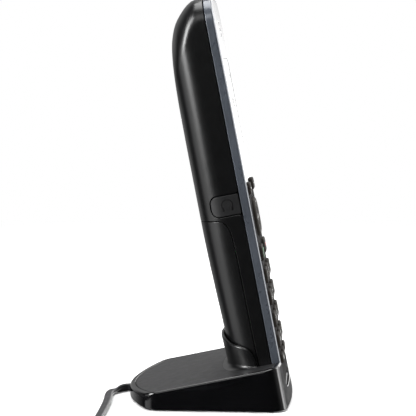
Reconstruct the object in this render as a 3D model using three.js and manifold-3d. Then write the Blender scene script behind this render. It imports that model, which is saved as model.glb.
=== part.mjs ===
// Cordless telephone handset standing in its wedge-shaped charging cradle.
// Millimetres. +Z up, +X to the right, the keypad faces -Y.
// The origin is the centre of the cradle's footprint, on the surface it stands on.
import * as THREE from 'three';
import { mergeVertices } from 'three/addons/utils/BufferGeometryUtils.js';
import Module from 'manifold-3d';

const wasm = await Module();
wasm.setup();
const { Manifold, Mesh: MMesh } = wasm;

// ---------------------------------------------------------------- driving dimensions
const LEAN = 11.05 * Math.PI / 180;      // how far the docked handset leans back
const FACE_Y = -33.66, FACE_Z = 7.7;     // lowest point of the handset's face plane
const HS_HALF = 24;                      // half width of the handset
const HS_DEPTH = 24.3;                   // greatest thickness of the handset
const BAND = 3.9;                        // depth of the front bezel
const GAP = 0.3;                         // running gap between neighbouring pieces
const WALL = 1.7;                        // handset wall
const CLEAR = 0.5;                       // clearance between handset and cradle pocket
const CUP_WALL = 1.5;
const BASE_HALF = 37.5;                  // half width of the cradle
const TOP_SLOPE = -0.211;                // fall of the cradle's top per mm of depth
const TOP_Z0 = 13.07;                    // height of the top plane at y = 0
const BASE_BACK = 37.5, BACK_CURVE = 0.0083;
const BASE_FRONT = -36.5;
const CENTRE_Y = -0.636;                  // brings the middle of the cradle's depth to y = 0
const KEY_TRAVEL = 0.8, KEY_PROUD = 1.25;
const LEAD_W = 3.6, LEAD_H = 1.9;        // twin lead, wide by thick
const COIL_C = [-98, 17], COIL_IN = 13.0, COIL_OUT = 28.3, COIL_LOW = 0.9, COIL_TOP = 6.9;
const ADAPTER = { x0: -189, x1: -151, y0: -4, y1: 44, h: 26 };

// ---------------------------------------------------------------- small tools
const lerpTab = (tab, v) => {
  if (v <= tab[0][0]) return tab[0][1];
  for (let i = 1; i < tab.length; i++) if (v <= tab[i][0]) {
    const [a, b] = tab[i - 1], [c, d] = tab[i];
    return b + (d - b) * (v - a) / (c - a);
  }
  return tab[tab.length - 1][1];
};
const topZ = y => TOP_Z0 + TOP_SLOPE * y;
const toWorld = ([x, d, s]) => [x,
  FACE_Y + d * Math.cos(LEAN) + s * Math.sin(LEAN),
  FACE_Z - d * Math.sin(LEAN) + s * Math.cos(LEAN)];

function solidFrom(points, tris) {
  let vol = 0;
  for (const [a, b, c] of tris) {
    const [p, q, r] = [points[a], points[b], points[c]];
    vol += p[0] * (q[1] * r[2] - q[2] * r[1]) - p[1] * (q[0] * r[2] - q[2] * r[0]) + p[2] * (q[0] * r[1] - q[1] * r[0]);
  }
  const m = new MMesh({
    numProp: 3, vertProperties: new Float32Array(points.flat()),
    triVerts: new Uint32Array(tris.flatMap(([a, b, c]) => vol > 0 ? [a, b, c] : [a, c, b])),
  });
  return new Manifold(m);
}
// A skin over closed loops of equal length; each loop mirrors itself end to start,
// so each end is capped with a ladder across it.
function loft(loops, map = p => p) {
  const n = loops[0].length, pts = loops.flat().map(map), tris = [];
  for (let k = 0; k + 1 < loops.length; k++)
    for (let i = 0; i < n; i++) {
      const a = k * n + i, b = k * n + (i + 1) % n, c = a + n, d = b + n;
      tris.push([a, b, d], [a, d, c]);
    }
  const last = (loops.length - 1) * n;
  for (let i = 0; i < n / 2 - 1; i++) {
    const q = [i, i + 1, n - 2 - i, n - 1 - i];
    tris.push([q[0], q[2], q[1]], [q[0], q[3], q[2]]);
    tris.push([last + q[0], last + q[1], last + q[2]], [last + q[0], last + q[2], last + q[3]]);
  }
  return solidFrom(pts, tris);
}
function fromGeometry(g) {
  let h = g.clone();
  h.deleteAttribute('normal'); h.deleteAttribute('uv');
  h = mergeVertices(h, 1e-4);
  return new Manifold(new MMesh({
    numProp: 3, vertProperties: new Float32Array(h.attributes.position.array),
    triVerts: new Uint32Array(h.index.array),
  }));
}
const block = (x0, x1, y0, y1, z0, z1) => {
  const g = new THREE.BoxGeometry(x1 - x0, y1 - y0, z1 - z0);
  g.translate((x0 + x1) / 2, (y0 + y1) / 2, (z0 + z1) / 2);
  return fromGeometry(g);
};
const rod = (axis, r, a, b, c0, c1, n = 20) => {
  const g = new THREE.CylinderGeometry(r, r, b - a, n);
  if (axis === 'x') { g.rotateZ(-Math.PI / 2); g.translate((a + b) / 2, c0, c1); }
  if (axis === 'y') g.translate(c0, (a + b) / 2, c1);
  if (axis === 'z') { g.rotateX(Math.PI / 2); g.translate(c0, c1, (a + b) / 2); }
  return fromGeometry(g);
};
// an outline drawn in two axes and pushed along the third
const prism = (pts, axis, a, b) => {
  const sh = new THREE.Shape(pts.map(([u, v]) => new THREE.Vector2(u, v)));
  const g = new THREE.ExtrudeGeometry(sh, { depth: b - a, bevelEnabled: false, curveSegments: 8 });
  g.translate(0, 0, a);
  if (axis === 'x') g.applyMatrix4(new THREE.Matrix4().set(0, 0, 1, 0, 1, 0, 0, 0, 0, 1, 0, 0, 0, 0, 0, 1));
  if (axis === 'y') g.applyMatrix4(new THREE.Matrix4().set(1, 0, 0, 0, 0, 0, 1, 0, 0, 1, 0, 0, 0, 0, 0, 1));
  const m = fromGeometryOriented(g);
  return m;
};
function fromGeometryOriented(g) {
  let h = g.clone();
  h.deleteAttribute('normal'); h.deleteAttribute('uv');
  h = mergeVertices(h, 1e-4);
  const p = h.attributes.position.array, ix = h.index.array;
  const points = [], tris = [];
  for (let i = 0; i < p.length; i += 3) points.push([p[i], p[i + 1], p[i + 2]]);
  for (let i = 0; i < ix.length; i += 3) tris.push([ix[i], ix[i + 1], ix[i + 2]]);
  return solidFrom(points, tris);
}
const rrPts = (cx, cy, hw, hh, r, n = 4) => {
  const out = [];
  for (const [sx, sy, a0] of [[1, -1, -90], [1, 1, 0], [-1, 1, 90], [-1, -1, 180]])
    for (let k = 0; k <= n; k++) {
      const a = (a0 + 90 * k / n) * Math.PI / 180;
      out.push([cx + sx * (hw - r) + r * Math.cos(a), cy + sy * (hh - r) + r * Math.sin(a)]);
    }
  return out;
};
const join = (...m) => m.reduce((a, b) => a.add(b));
const cut = (a, ...m) => m.reduce((x, y) => x.subtract(y), a);

// ---------------------------------------------------------------- handset form
// Handset frame: x across, d depth behind the face, s height along the handset.
const topTab = [[0, 173.2], [0.7, 173.9], [3.9, 174.2], [5.8, 174.2], [8, 174.1], [11, 172.9], [15, 169.7], [19, 165.2], [21.5, 159.6], [22.6, 154], [23.2, 148], [23.7, 139], [24.3, 125]];
const depthTab = [[0, 21.7], [28, 23.1], [74, 24.3], [110, 24.2], [126, 24.1], [180, 24.1]];
const halfAt = d => {
  if (d < 0.7) return HS_HALF - (0.7 - d);
  if (d <= 10.5) return HS_HALF;
  const u = Math.min(1, (d - 10.5) / (HS_DEPTH - 10.5));
  return HS_HALF * Math.pow(Math.max(0, 1 - Math.pow(u, 2.6)), 1 / 2.6);
};
const bottomAt = d => (d < 0.7 ? 0.7 - d : d < 19 ? 0 : 3 * Math.pow((d - 19) / 5.3, 2));
function hsLoop(d, off, arc = 4, side = 4) {
  let dd = d;
  if (d > 10.5) dd = 10.5 + (d - 10.5) * (HS_DEPTH - 10.5) / (HS_DEPTH - off - 10.5);
  const flatD = off === 0 ? dd : Math.max(dd, 0.7);
  const w = Math.max(1.2, halfAt(flatD) * (HS_HALF - off) / HS_HALF);
  const top = lerpTab(topTab, flatD) - off, bot = bottomAt(flatD) + off;
  const rt = Math.max(1, Math.min(0.96 * w, 11 + Math.max(0, dd - 8) * 0.6 - off));
  const rb = Math.max(1, Math.min(0.96 * w, 8 + Math.max(0, dd - 12) * 0.3 - off));
  const right = [];
  for (let k = 0; k <= arc; k++) {
    const a = (-90 + 90 * k / arc) * Math.PI / 180;
    right.push([w - rb + rb * Math.cos(a), bot + rb + rb * Math.sin(a)]);
  }
  for (let k = 1; k < side; k++) right.push([w, bot + rb + (top - rt - bot - rb) * k / side]);
  for (let k = 0; k <= arc; k++) {
    const a = (90 * k / arc) * Math.PI / 180;
    right.push([w - rt + rt * Math.cos(a), top - rt + rt * Math.sin(a)]);
  }
  const loop = [...right, ...right.map(([x, s]) => [-x, s]).reverse()];
  // the back is slimmer towards the foot
  return loop.map(([x, s]) => {
    const D = lerpTab(depthTab, s);
    return [x, d <= 4.2 ? d : 4.2 + (d - 4.2) * (D - off - 4.2) / (HS_DEPTH - off - 4.2), s];
  });
}
const REAR_D = [4.2, 10.5, 14, 17, 19.6, 21.6, 22.9, 23.8, 24.2, 24.3];
function hsSolid(off, d0, map) {
  const span = HS_DEPTH - off;
  const ds = REAR_D.map(d => (d <= 10.5 ? d : 10.5 + (d - 10.5) * (span - 10.5) / (HS_DEPTH - 10.5))).filter(d => d > d0 + 0.2);
  return loft([d0, ...ds].map(d => hsLoop(d, off)), map);
}

const outerRear = hsSolid(0, 4.2);
const skin = off => hsSolid(off, 3.0);            // everything deeper than "off" below the surface

// battery door: a wrap-round cover on the lower back, seen from the side in (d, s)
const doorSide = g => [[9.8 - g, 4 - g], [10.1 - g, 60], [10.5 - g, 66], [11 - g, 71], [11.8 - g, 73.6 + g], [13.1 - g, 75.4 + g], [15, 76.5 + g], [17.5, 77 + g], [21, 77.3 + g], [32, 77.3 + g], [32, 4 - g]];
const doorRegion = g => prism(doorSide(g), 'x', -30, 30);
// rubber flap over the headset socket, on the left side
const flapSide = g => [[4.5 - g, 79.2 - g], [16.2, 79.2 - g], [18.3 + g, 80.1 - g], [19.2 + g, 82.2], [19.2 + g, 85.3], [18.3 + g, 87.4 + g], [16.2, 88.3 + g], [4.5 - g, 88.3 + g]];
const flapRegion = g => prism(flapSide(g), 'x', -30, -9);
const SOCKET = { d: 11, s: 83.8 };

// ---------------------------------------------------------------- handset pieces
const parts = [];        // {name, solid, group, mat}
const put = (group, name, solid, mat) => parts.push({ name, solid, group, mat });

const keys = [];
const keyRow = (s, list, hw, hh, r) => list.forEach(([name, x]) => keys.push({ name, x, s, hw, hh, r }));
keyRow(88.8, [['softkey_left', -14.6], ['softkey_right', 14.6]], 5.6, 2.6, 1.6);
keyRow(60, [['talk_key', -13.6], ['off_key', 13.6]], 6.6, 3.3, 2.2);
keyRow(49.8, [['key_1', -14], ['key_2', 0], ['key_3', 14]], 5.8, 3.3, 1.8);
keyRow(39.8, [['key_4', -14], ['key_5', 0], ['key_6', 14]], 5.8, 3.3, 1.8);
keyRow(29.8, [['key_7', -14], ['key_8', 0], ['key_9', 14]], 5.8, 3.3, 1.8);
keyRow(20.2, [['key_star', -14], ['key_0', 0], ['key_hash', 14]], 5.8, 3.1, 1.8);
keyRow(12, [['function_key_left', -13.2], ['function_key_centre', 0], ['function_key_right', 13.2]], 5.2, 2.0, 1.6);
const NAV = { s: 74.8, hw: 13, hh: 8.3, r: 7.4, hole: 4.7 };

const keyHole = k => prism(rrPts(k.x, k.s, k.hw + GAP, k.hh + GAP, k.r + GAP, 2), 'y', -2, 3);
const WIN = { hw: 16.5, s0: 105, s1: 143.5 };

// front bezel: shallow tray with the openings for keys, display, earpiece and microphone
let front = loft([hsLoop(0, 0), hsLoop(0.7, 0), hsLoop(BAND, 0)]);
front = cut(front,
  loft([1.8, BAND + 1].map(d => hsLoop(d, WALL))),
  block(-WIN.hw, WIN.hw, -1, 3, WIN.s0, WIN.s1),
  prism(rrPts(0, (101 + 147) / 2, 19, 23, 4, 3), 'y', -1, 1.35),
  prism(rrPts(0, 157.6, 6.2, 0.7, 0.6, 2), 'y', -1, 3),
  prism(rrPts(0, 160.2, 6.2, 0.7, 0.6, 2), 'y', -1, 3),
  prism(rrPts(0, 162.8, 4.6, 0.7, 0.6, 2), 'y', -1, 3),
  rod('y', 0.7, -1, 3, 0, 5.3, 10),
  prism(rrPts(0, NAV.s, NAV.hw + GAP, NAV.hh + GAP, NAV.r + GAP, 4), 'y', -2, 3),
  ...keys.map(keyHole));
put('handset', 'front_housing', front, 'bezel');

// rear shell with the battery bay, the recesses for door, flap and speaker plate
const bay = block(-18.5, 18.5, 9.7, 40, 14.5, 66.2);
const solidZones = [
  block(-22.4, 22.4, 8.1, 40, 2.5, 79.0),
  block(-13.6, 13.6, 20.2, 40, 91, 127),
  block(-30, -20.3, 3, 21, 77.4, 90),
];
let rear = cut(outerRear, cut(hsSolid(WALL, 3.0), ...solidZones));
rear = cut(rear,
  cut(doorRegion(0.15), skin(1.8)),
  bay,
  cut(block(-11.3, 11.3, 15, 40, 93.7, 124.3), skin(1.5)),
  cut(flapRegion(GAP), skin(1.6)),
  cut(block(-30, -9, 16.4, 19.5, 79.3, 88.2), skin(2.6)),      // room for the flap's inner edge as it swings out
  rod('x', 2.6, -26, -18, SOCKET.d, SOCKET.s, 14),
  rod('y', 5, 18, 23.2, 0, 109, 16),
  block(-14.4, -9.6, 4.9, 9.1, -1, 0.95),
  block(9.6, 14.4, 4.9, 9.1, -1, 0.95));
put('handset', 'rear_housing', rear, 'shell');
put('handset', 'battery_door', cut(outerRear.intersect(doorRegion(-0.15)), skin(1.5)), 'shell');

let plate = cut(outerRear.intersect(block(-11, 11, 15, 40, 94, 124)), skin(1.2));
plate = cut(plate, ...[100, 104.5, 109, 113.5, 118].map(s => prism(rrPts(0, s, 6, 0.75, 0.7, 2), 'y', 15, 30)));
put('handset', 'rear_speaker_plate', plate, 'shell');
put('jack_cover', 'headset_jack_cover', cut(outerRear.intersect(flapRegion(0)), skin(1.3)), 'rubber');

put('handset', 'display_lens', prism(rrPts(0, 124, 18.7, 22.7, 3.8, 4), 'y', 0.1, 1.05), 'lens');
put('handset', 'lcd_panel', block(-17.5, 17.5, 2.1, 4.6, 103, 145.5), 'lcd');
put('handset', 'earpiece_speaker', join(rod('y', 8.5, 2.1, 3.6, 0, 160, 24), rod('y', 5.5, 3.6, 5.4, 0, 160, 20)), 'steel');
put('handset', 'keypad_mat', cut(prism(rrPts(0, 50.3, 20.2, 42.3, 5, 3), 'y', 3.6, 4.6), block(-2.4, 2.4, 3, 5, 5, 9.3)), 'rubber');
put('handset', 'handset_board', join(
  prism(rrPts(0, 78, 20.2, 72, 5, 2), 'y', 5.1, 6.3),
  block(-13, 13, 6.2, 9.4, 112, 140), block(-17, -8, 6.2, 8.2, 94, 104),
  block(2, 14, 6.2, 7.6, 92, 106), block(-6, 6, 6.2, 7.4, 20, 34),
  rod('y', 1.9, 2.3, 5.4, 0, 4.9, 14), block(-1.5, 1.5, 5.1, 6.3, 4, 8)), 'board');   // microphone at the foot
put('handset', 'headset_jack', cut(block(-19.9, -8, 7.5, 14.5, 80.3, 87.3), rod('x', 1.3, -25, -10, SOCKET.d, SOCKET.s, 12)), 'shell');
put('handset', 'rear_speaker', join(rod('y', 11, 16.6, 19.6, 0, 109, 24), rod('y', 7, 14.2, 16.6, 0, 109, 20)), 'steel');
for (const [n, x] of [['battery_cell_left', -9.2], ['battery_cell_right', 9.2]])
  put('handset', n, join(rod('z', 5.1, 18.2, 62.2, x, 15.05, 24), rod('z', 1.9, 62.2, 63.2, x, 15.05, 12)), 'cell');
put('handset', 'battery_contact_lower', join(block(-16, 16, 11, 18.6, 14.8, 15.3), rod('z', 2.2, 15.2, 17.9, -9.2, 15.05, 12), rod('z', 2.2, 15.2, 17.9, 9.2, 15.05, 12)), 'steel');
put('handset', 'battery_contact_upper', join(block(-16, 16, 11, 18.6, 65.2, 65.8), rod('z', 2.2, 63.5, 65.3, -9.2, 15.05, 12), rod('z', 2.2, 63.5, 65.3, 9.2, 15.05, 12)), 'steel');
put('handset', 'charge_contact_left', block(-14.1, -9.9, 5.2, 8.8, 0.05, 0.65), 'gold');
put('handset', 'charge_contact_right', block(9.9, 14.1, 5.2, 8.8, 0.05, 0.65), 'gold');

// key caps with the flange that holds each behind the bezel
for (const k of keys) {
  const cap = loft([[0, 1.2], [0, 0.25], [0.35, 0]].map(([inset], i) => {
    const y = [2.1, -KEY_PROUD + 0.45, -KEY_PROUD][i];
    const pts = rrPts(0, 0, k.hw - inset, k.hh - inset, k.r - inset * 0.5, 2);
    const half = pts.length / 2;      // start at the foot, run up the right side
    const right = pts.slice(0, half);
    return [...right, ...right.map(([x, s]) => [-x, s]).reverse()].map(([x, s]) => [x + k.x, y, s + k.s]);
  }));
  let cap2 = cap.add(prism(rrPts(k.x, k.s, k.hw + 0.75, k.hh + 0.7, k.r, 1), 'y', 2.05, 2.6));
  if (k.name === 'key_5') cap2 = cap2.add(rod('y', 0.55, -KEY_PROUD - 0.45, 0, k.x, k.s, 10));
  put(k.name, k.name, cap2, k.name === 'talk_key' ? 'talk' : 'keys');
}
const navRing = cut(join(
  prism(rrPts(0, NAV.s, NAV.hw, NAV.hh, NAV.r, 5), 'y', -0.6, 2.4),
  prism(rrPts(0, NAV.s, NAV.hw - 0.6, NAV.hh - 0.6, NAV.r - 0.6, 5), 'y', -KEY_PROUD, 2.4),
  prism(rrPts(0, NAV.s, NAV.hw + 0.9, NAV.hh - 0.0, NAV.r, 3), 'y', 2.05, 2.6)),
  rod('y', NAV.hole, -3, 4, 0, NAV.s, 24));
put('nav_key', 'nav_key', navRing, 'keys');
put('select_key', 'select_key', join(rod('y', NAV.hole - 0.3, -KEY_PROUD + 0.2, 2.6, 0, NAV.s, 24)), 'keys');

// ---------------------------------------------------------------- cradle form
const backY = x => BASE_BACK - BACK_CURVE * x * x;
function outlineRight() {                      // front centre round the right side to back centre
  const pts = [[5, BASE_FRONT + 0.05], [14, BASE_FRONT + 0.4], [23, BASE_FRONT + 1.0], [28.5, BASE_FRONT + 1.9]];
  const r = 6.5, cx = BASE_HALF - r, cy = -28.4;
  for (let k = 1; k <= 5; k++) {
    const a = (-72 + 72 * k / 5) * Math.PI / 180;
    pts.push([cx + r * Math.cos(a), cy + r * Math.sin(a)]);
  }
  pts.push([BASE_HALF, -8], [BASE_HALF, 10], [BASE_HALF, 22.4], [37.1, 24.9], [35.6, 26.9]);
  for (const x of [32.5, 28, 22.5, 16.5, 10.5, 4]) pts.push([x, backY(x)]);
  return pts;
}
const OUT = outlineRight();
function insetRight(inset) {
  const n = OUT.length;
  return OUT.map(([x, y], i) => {
    const a = i === 0 ? [-OUT[0][0], OUT[0][1]] : OUT[i - 1];
    const b = i === n - 1 ? [-OUT[n - 1][0], OUT[n - 1][1]] : OUT[i + 1];
    const tx = b[0] - a[0], ty = b[1] - a[1], L = Math.hypot(tx, ty);
    const f = typeof inset === 'function' ? inset(x, y) : inset;
    return [x - ty / L * f, y + tx / L * f];
  });
}
// a loop round the cradle; the front leans back with height, like the handset
function baseLoop(inset, zOf) {
  const right = insetRight(inset).map(([x, y]) => {
    const w = Math.min(1, Math.max(0, (-18 - y) / 12));
    let yy = y, z = zOf(y);
    for (let k = 0; k < 3; k++) { yy = y + w * 0.19 * z; z = zOf(yy); }
    return [x, yy, z];
  });
  return [...right, ...right.map(([x, y, z]) => [-x, y, z]).reverse()];
}
const baseOuter = loft([
  baseLoop((x, y) => (y < 23 ? 0.7 : 1.3), () => 0.25),
  baseLoop((x, y) => (y < 23 ? 0.2 : 0.5), () => 0.75),
  baseLoop((x, y) => (y < 23 ? 0 : 0.1), () => 1.7),
  baseLoop(0, y => Math.min(4.2, topZ(y) - 1.0)),
  baseLoop(0, y => topZ(y) - 0.9),
  baseLoop(0.3, y => topZ(y) - 0.25),
  baseLoop(0.95, y => topZ(y)),
]);
const pocket = (off, d0, up = 0) => hsSolid(-off, d0, toWorld);
const world = (x0, x1, d0, d1, s0, s1) => {
  const pts = [];
  for (const s of [s0, s1]) for (const [x, d] of [[x0, d0], [x1, d0], [x1, d1], [x0, d1]]) pts.push(toWorld([x, d, s]));
  return solidFrom(pts, [[0, 2, 1], [0, 3, 2], [4, 5, 6], [4, 6, 7], [0, 1, 5], [0, 5, 4], [1, 2, 6], [1, 6, 5], [2, 3, 7], [2, 7, 6], [3, 0, 4], [3, 4, 7]]);
};
const notch = loft([-14, 5.4].map(d => hsLoop(0.8, -CLEAR).map(([x, , s]) => [x, d, s])), toWorld);
const pocketCut = join(notch, pocket(CLEAR + CUP_WALL + GAP, 5.0));

let housing = cut(baseOuter,
  // hollow under the deck
  loft([baseLoop(2.9, () => -1), baseLoop(2.9, () => 2.2), baseLoop(2.2, () => 2.21), baseLoop(2.2, y => Math.max(2.4, topZ(y) - 3.2))]),
  // tray for the top panel
  loft([baseLoop(2.3, y => topZ(y) - 1.7), baseLoop(2.3, y => topZ(y) + 1)]),
  pocketCut,
  block(-3.1, 3.1, 30, 40, -1, 4.4));
// pillars for the screws
const SCREWS = [[-30.4, -2], [30.4, -2]];
for (const [x, y] of SCREWS) housing = housing.add(cut(rod('z', 2.9, 4.2, topZ(y) - 2.4, x, y, 16), rod('z', 1.3, 3, topZ(y) - 3.6, x, y, 12)));
put('base', 'base_housing', housing, 'gloss');

const panel = cut(loft([baseLoop(2.65, y => topZ(y) - 1.35), baseLoop(2.65, y => topZ(y) - 0.35), baseLoop(3.0, y => topZ(y) - 0.1)]),
  join(notch, pocket(CLEAR + CUP_WALL + GAP, 5.0), world(-26.6, 26.6, -10, 6, -1, 40)));
put('base', 'base_top_panel', panel, 'matte');

// cup: hugs the lower back of the docked handset, higher at the rear than at the sides
const rim = [[-40, 21.41], [-20.9, 17.38], [-20.2, 20.2], [-19.4, 22], [-18.2, 24], [-16.3, 25.6], [-13.5, 26.2], [-9.5, 26.6], [-7.2, 27.6], [-5.2, 28.8], [-3, 29.2], [10, 29.2], [10, 2.3], [-40, 2.3]];
const cup = cut(pocket(CLEAR + CUP_WALL, 5.7).intersect(prism(rim, 'x', -30, 30)),
  pocket(CLEAR, 3.0),
  world(-13.45, -10.55, 5.0, 9.0, -4, 1), world(10.55, 13.45, 5.0, 9.0, -4, 1));
put('base', 'cradle_cup', cup, 'gloss');

const FEET = [['front', -27.5, 24, 2.6], ['back', 23, 20, 2.6]];   // name, y, half length, half width
let bottom = cut(loft([baseLoop(3.3, () => 0.8), baseLoop(3.3, () => 1.9)]), block(-3.4, 3.4, 31, 40, 0, 3));
for (const [, y, hl, hw] of FEET)
  bottom = cut(bottom.add(prism(rrPts(0, y, hl + 1.2, hw + 1.2, hw + 1, 4), 'z', 1.2, 2.5)), prism(rrPts(0, y, hl + GAP, hw + GAP, hw, 5), 'z', 0, 1.6));
for (const [x, y] of SCREWS) bottom = cut(bottom.add(rod('z', 3.2, 1.5, 3.5, x, y, 16)), rod('z', 2.3, 0, 2.4, x, y, 16), rod('z', 1.35, 0, 5, x, y, 12));
put('base', 'base_bottom_plate', bottom, 'matte');
for (const [n, y, hl, hw] of FEET)
  put('base', 'rubber_foot_' + n, prism(rrPts(0, y, hl, hw, hw - 0.3, 5), 'z', 0, 1.3), 'rubber');
['left', 'right'].forEach((n, i) => {
  const [x, y] = SCREWS[i];
  const slot = join(block(x - 1.3, x + 1.3, y - 0.25, y + 0.25, 0.5, 1.4), block(x - 0.25, x + 0.25, y - 1.3, y + 1.3, 0.5, 1.4));
  put('base', 'base_screw_' + n, cut(join(rod('z', 2.0, 0.95, 2.1, x, y, 16), rod('z', 1.0, 2.1, 7.5, x, y, 12)), slot), 'steel');
});
put('base', 'base_board', join(block(-24, 24, -4, 18.8, 2.3, 3.5), block(-12, -2, 4, 12, 3.4, 6.0), rod('z', 2.6, 3.4, 6.6, 10, 2, 12), block(14, 19, 6, 12, 3.4, 4.8)), 'board');
for (const [n, x] of [['charge_pin_left', -12], ['charge_pin_right', 12]]) {
  const pin = join(rod('z', 1.1, -2.6, -0.45, x, 7, 16), rod('z', 1.9, -2.75, -2.15, x, 7, 16));
  put(n, n, pin, 'gold');
}
put('base', 'cord_grommet', cut(join(block(-2.8, 2.8, 34.7, 36.5, 0.3, 4.1), block(-2.8, 2.8, 32.4, 33.9, 0.3, 4.1), block(-2.2, 2.2, 33.8, 34.8, 0.3, 4.0)), block(-1.25, 1.25, 30, 38, -1, 3.72)), 'rubber');

// ---------------------------------------------------------------- lead, coil and mains adapter
const lead = (pts, flat) => {
  const path = new THREE.CatmullRomCurve3(pts.map(p => new THREE.Vector3(...p)), false, 'centripetal');
  const w = LEAD_W / 2, h = LEAD_H / 2;
  const sec = new THREE.Shape([[w, 0], [w * 0.8, h * 0.8], [0, h], [-w * 0.8, h * 0.8], [-w, 0], [-w * 0.8, -h * 0.8], [0, -h], [w * 0.8, -h * 0.8]].map(([a, b]) => (flat ? new THREE.Vector2(b, a) : new THREE.Vector2(a, b))));
  return { sec, path };
};
const leadPts = [[0, 36.9, 1.9], [0, 39, 1.8], [-1.2, 42, 1.4], [-5, 45.6, 1.05], [-10.5, 46.6, 1.0], [-24, 45.4, 1.0], [-46, 44.6, 1.0], [-62, 44.6, 1.0], [-76, 44.5, 1.0], [-84, 44.2, 1.0]];
const tailPts = [[-124.6, 31.6, 1.0], [-129, 25.6, 1.0], [-134.5, 21.2, 1.6], [-139.2, 20, 2.6], [-142.4, 20, 3.0]];
const tube = (pts, steps, flat) => {
  const { sec, path } = lead(pts, flat);
  return fromGeometryOriented(new THREE.ExtrudeGeometry(sec, { steps, extrudePath: path, bevelEnabled: false }));
};
put('base', 'cord_lead', tube(leadPts, 16, false), 'lead');
put('base', 'cord_tail', tube(tailPts, 7, true), 'lead');
{
  const g = new THREE.LatheGeometry([[COIL_IN, COIL_LOW], [COIL_OUT - 0.6, COIL_LOW], [COIL_OUT, COIL_LOW + 0.6], [COIL_OUT, COIL_TOP - 0.6], [COIL_OUT - 0.6, COIL_TOP], [COIL_IN + 0.6, COIL_TOP], [COIL_IN, COIL_TOP - 0.6], [COIL_IN, COIL_LOW]].map(([r, z]) => new THREE.Vector2(r, z)), 32);
  g.rotateX(Math.PI / 2);
  g.translate(COIL_C[0], COIL_C[1], 0);
  put('base', 'cord_coil', fromGeometryOriented(g), 'lead');
}
{ // tie round one side of the coil
  const [cx, cy] = COIL_C, a = cy - COIL_OUT - 0.35, b = cy - COIL_IN + 0.35;
  put('base', 'cord_tie', cut(block(cx - 2.2, cx + 2.2, a - 0.6, b + 0.6, 0, COIL_TOP + 0.95), block(cx - 3, cx + 3, a, b, 0.6, COIL_TOP + 0.35)), 'rubber');
}
{
  const A = ADAPTER, cx = (A.x0 + A.x1) / 2, cy = (A.y0 + A.y1) / 2, hx = (A.x1 - A.x0) / 2, hy = (A.y1 - A.y0) / 2;
  const shell = (z0, z1, i0, i1) => loft([[z0, i0], [z1, i1]].map(([z, i]) => {
    const p = rrPts(0, 0, hx - i, hy - i, 5 - i * 0.4, 4), h = p.length / 2, r = p.slice(0, h);
    return [...r, ...r.map(([x, y]) => [-x, y]).reverse()].map(([x, y]) => [x + cx, y + cy, z]);
  }));
  const lower = join(shell(0, 1.2, 1.2, 0), shell(1.2, 12.8, 0, 0));
  const upper = join(shell(13.1, A.h - 1.5, 0, 0), shell(A.h - 1.5, A.h, 0, 1.5));
  const innerLow = block(cx - hx + 2.5, cx + hx - 2.5, A.y0 + 2.5, A.y1 - 2.5, 2, 14);
  const innerUp = block(cx - hx + 2.5, cx + hx - 2.5, A.y0 + 2.5, A.y1 - 2.5, 12, A.h - 2.2);
  const bladeHole = join(block(cx - 7.4, cx - 5.3, A.y0 - 3, A.y0 + 8, 9.3, 16.7), block(cx + 5.3, cx + 7.4, A.y0 - 3, A.y0 + 8, 9.3, 16.7));
  const inlet = block(A.x1 - 6, A.x1 + 3, 20 - 2.6, 20 + 2.6, 0.9, 5.1);
  put('base', 'adapter_case_lower', cut(lower, innerLow, bladeHole, inlet), 'matte');
  put('base', 'adapter_case_upper', cut(upper, innerUp, bladeHole), 'matte');
  for (const [n, x] of [['adapter_blade_left', -6.35], ['adapter_blade_right', 6.35]])
    put('base', n, cut(block(cx + x - 0.75, cx + x + 0.75, A.y0 - 17, A.y0 + 6.5, 9.85, 16.15), rod('x', 1.6, cx + x - 2, cx + x + 2, A.y0 - 13.5, 13, 12)), 'steel');
  // bend relief where the lead enters the adapter
  put('base', 'adapter_strain_relief', cut(join(block(A.x1 - 2.6, A.x1 + 0.6, 20 - 2.3, 20 + 2.3, 1.2, 4.8),
    loft([[A.x1 + 0.5, 2.7, 1.85], [A.x1 + 9.0, 2.15, 1.45]].map(([x, hy2, hz]) => {
      const p = rrPts(0, 0, hy2, hz, 1.0, 2), h = p.length / 2, r = p.slice(0, h);
      return [...r, ...r.map(([y, z]) => [-y, z]).reverse()].map(([y, z]) => [x, y + 20, z + 3.0]);
    }))), block(A.x1 + 8.2, A.x1 + 12, 15, 25, 0, 8)), 'rubber');
}

// ---------------------------------------------------------------- scene
const look = {
  bezel: [0x3c4149, 0.42, 0.35], shell: [0x17171a, 0.42, 0], matte: [0x2c2c2f, 0.6, 0], gloss: [0x08080a, 0.16, 0],
  rubber: [0x1d1d1f, 0.75, 0], keys: [0x3a3531, 0.5, 0], talk: [0x2f5e3a, 0.5, 0], lens: [0x101418, 0.08, 0],
  lcd: [0x8a9a8c, 0.4, 0], steel: [0xa8a8a8, 0.35, 0.9], gold: [0xc9a24d, 0.3, 1], board: [0x1f5a34, 0.6, 0],
  cell: [0x4e7a52, 0.4, 0.1], lead: [0x101012, 0.5, 0],
};
const materials = Object.fromEntries(Object.entries(look).map(([k, [c, r, m]]) =>
  [k, new THREE.MeshStandardMaterial({ color: c, roughness: r, metalness: m })]));

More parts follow.
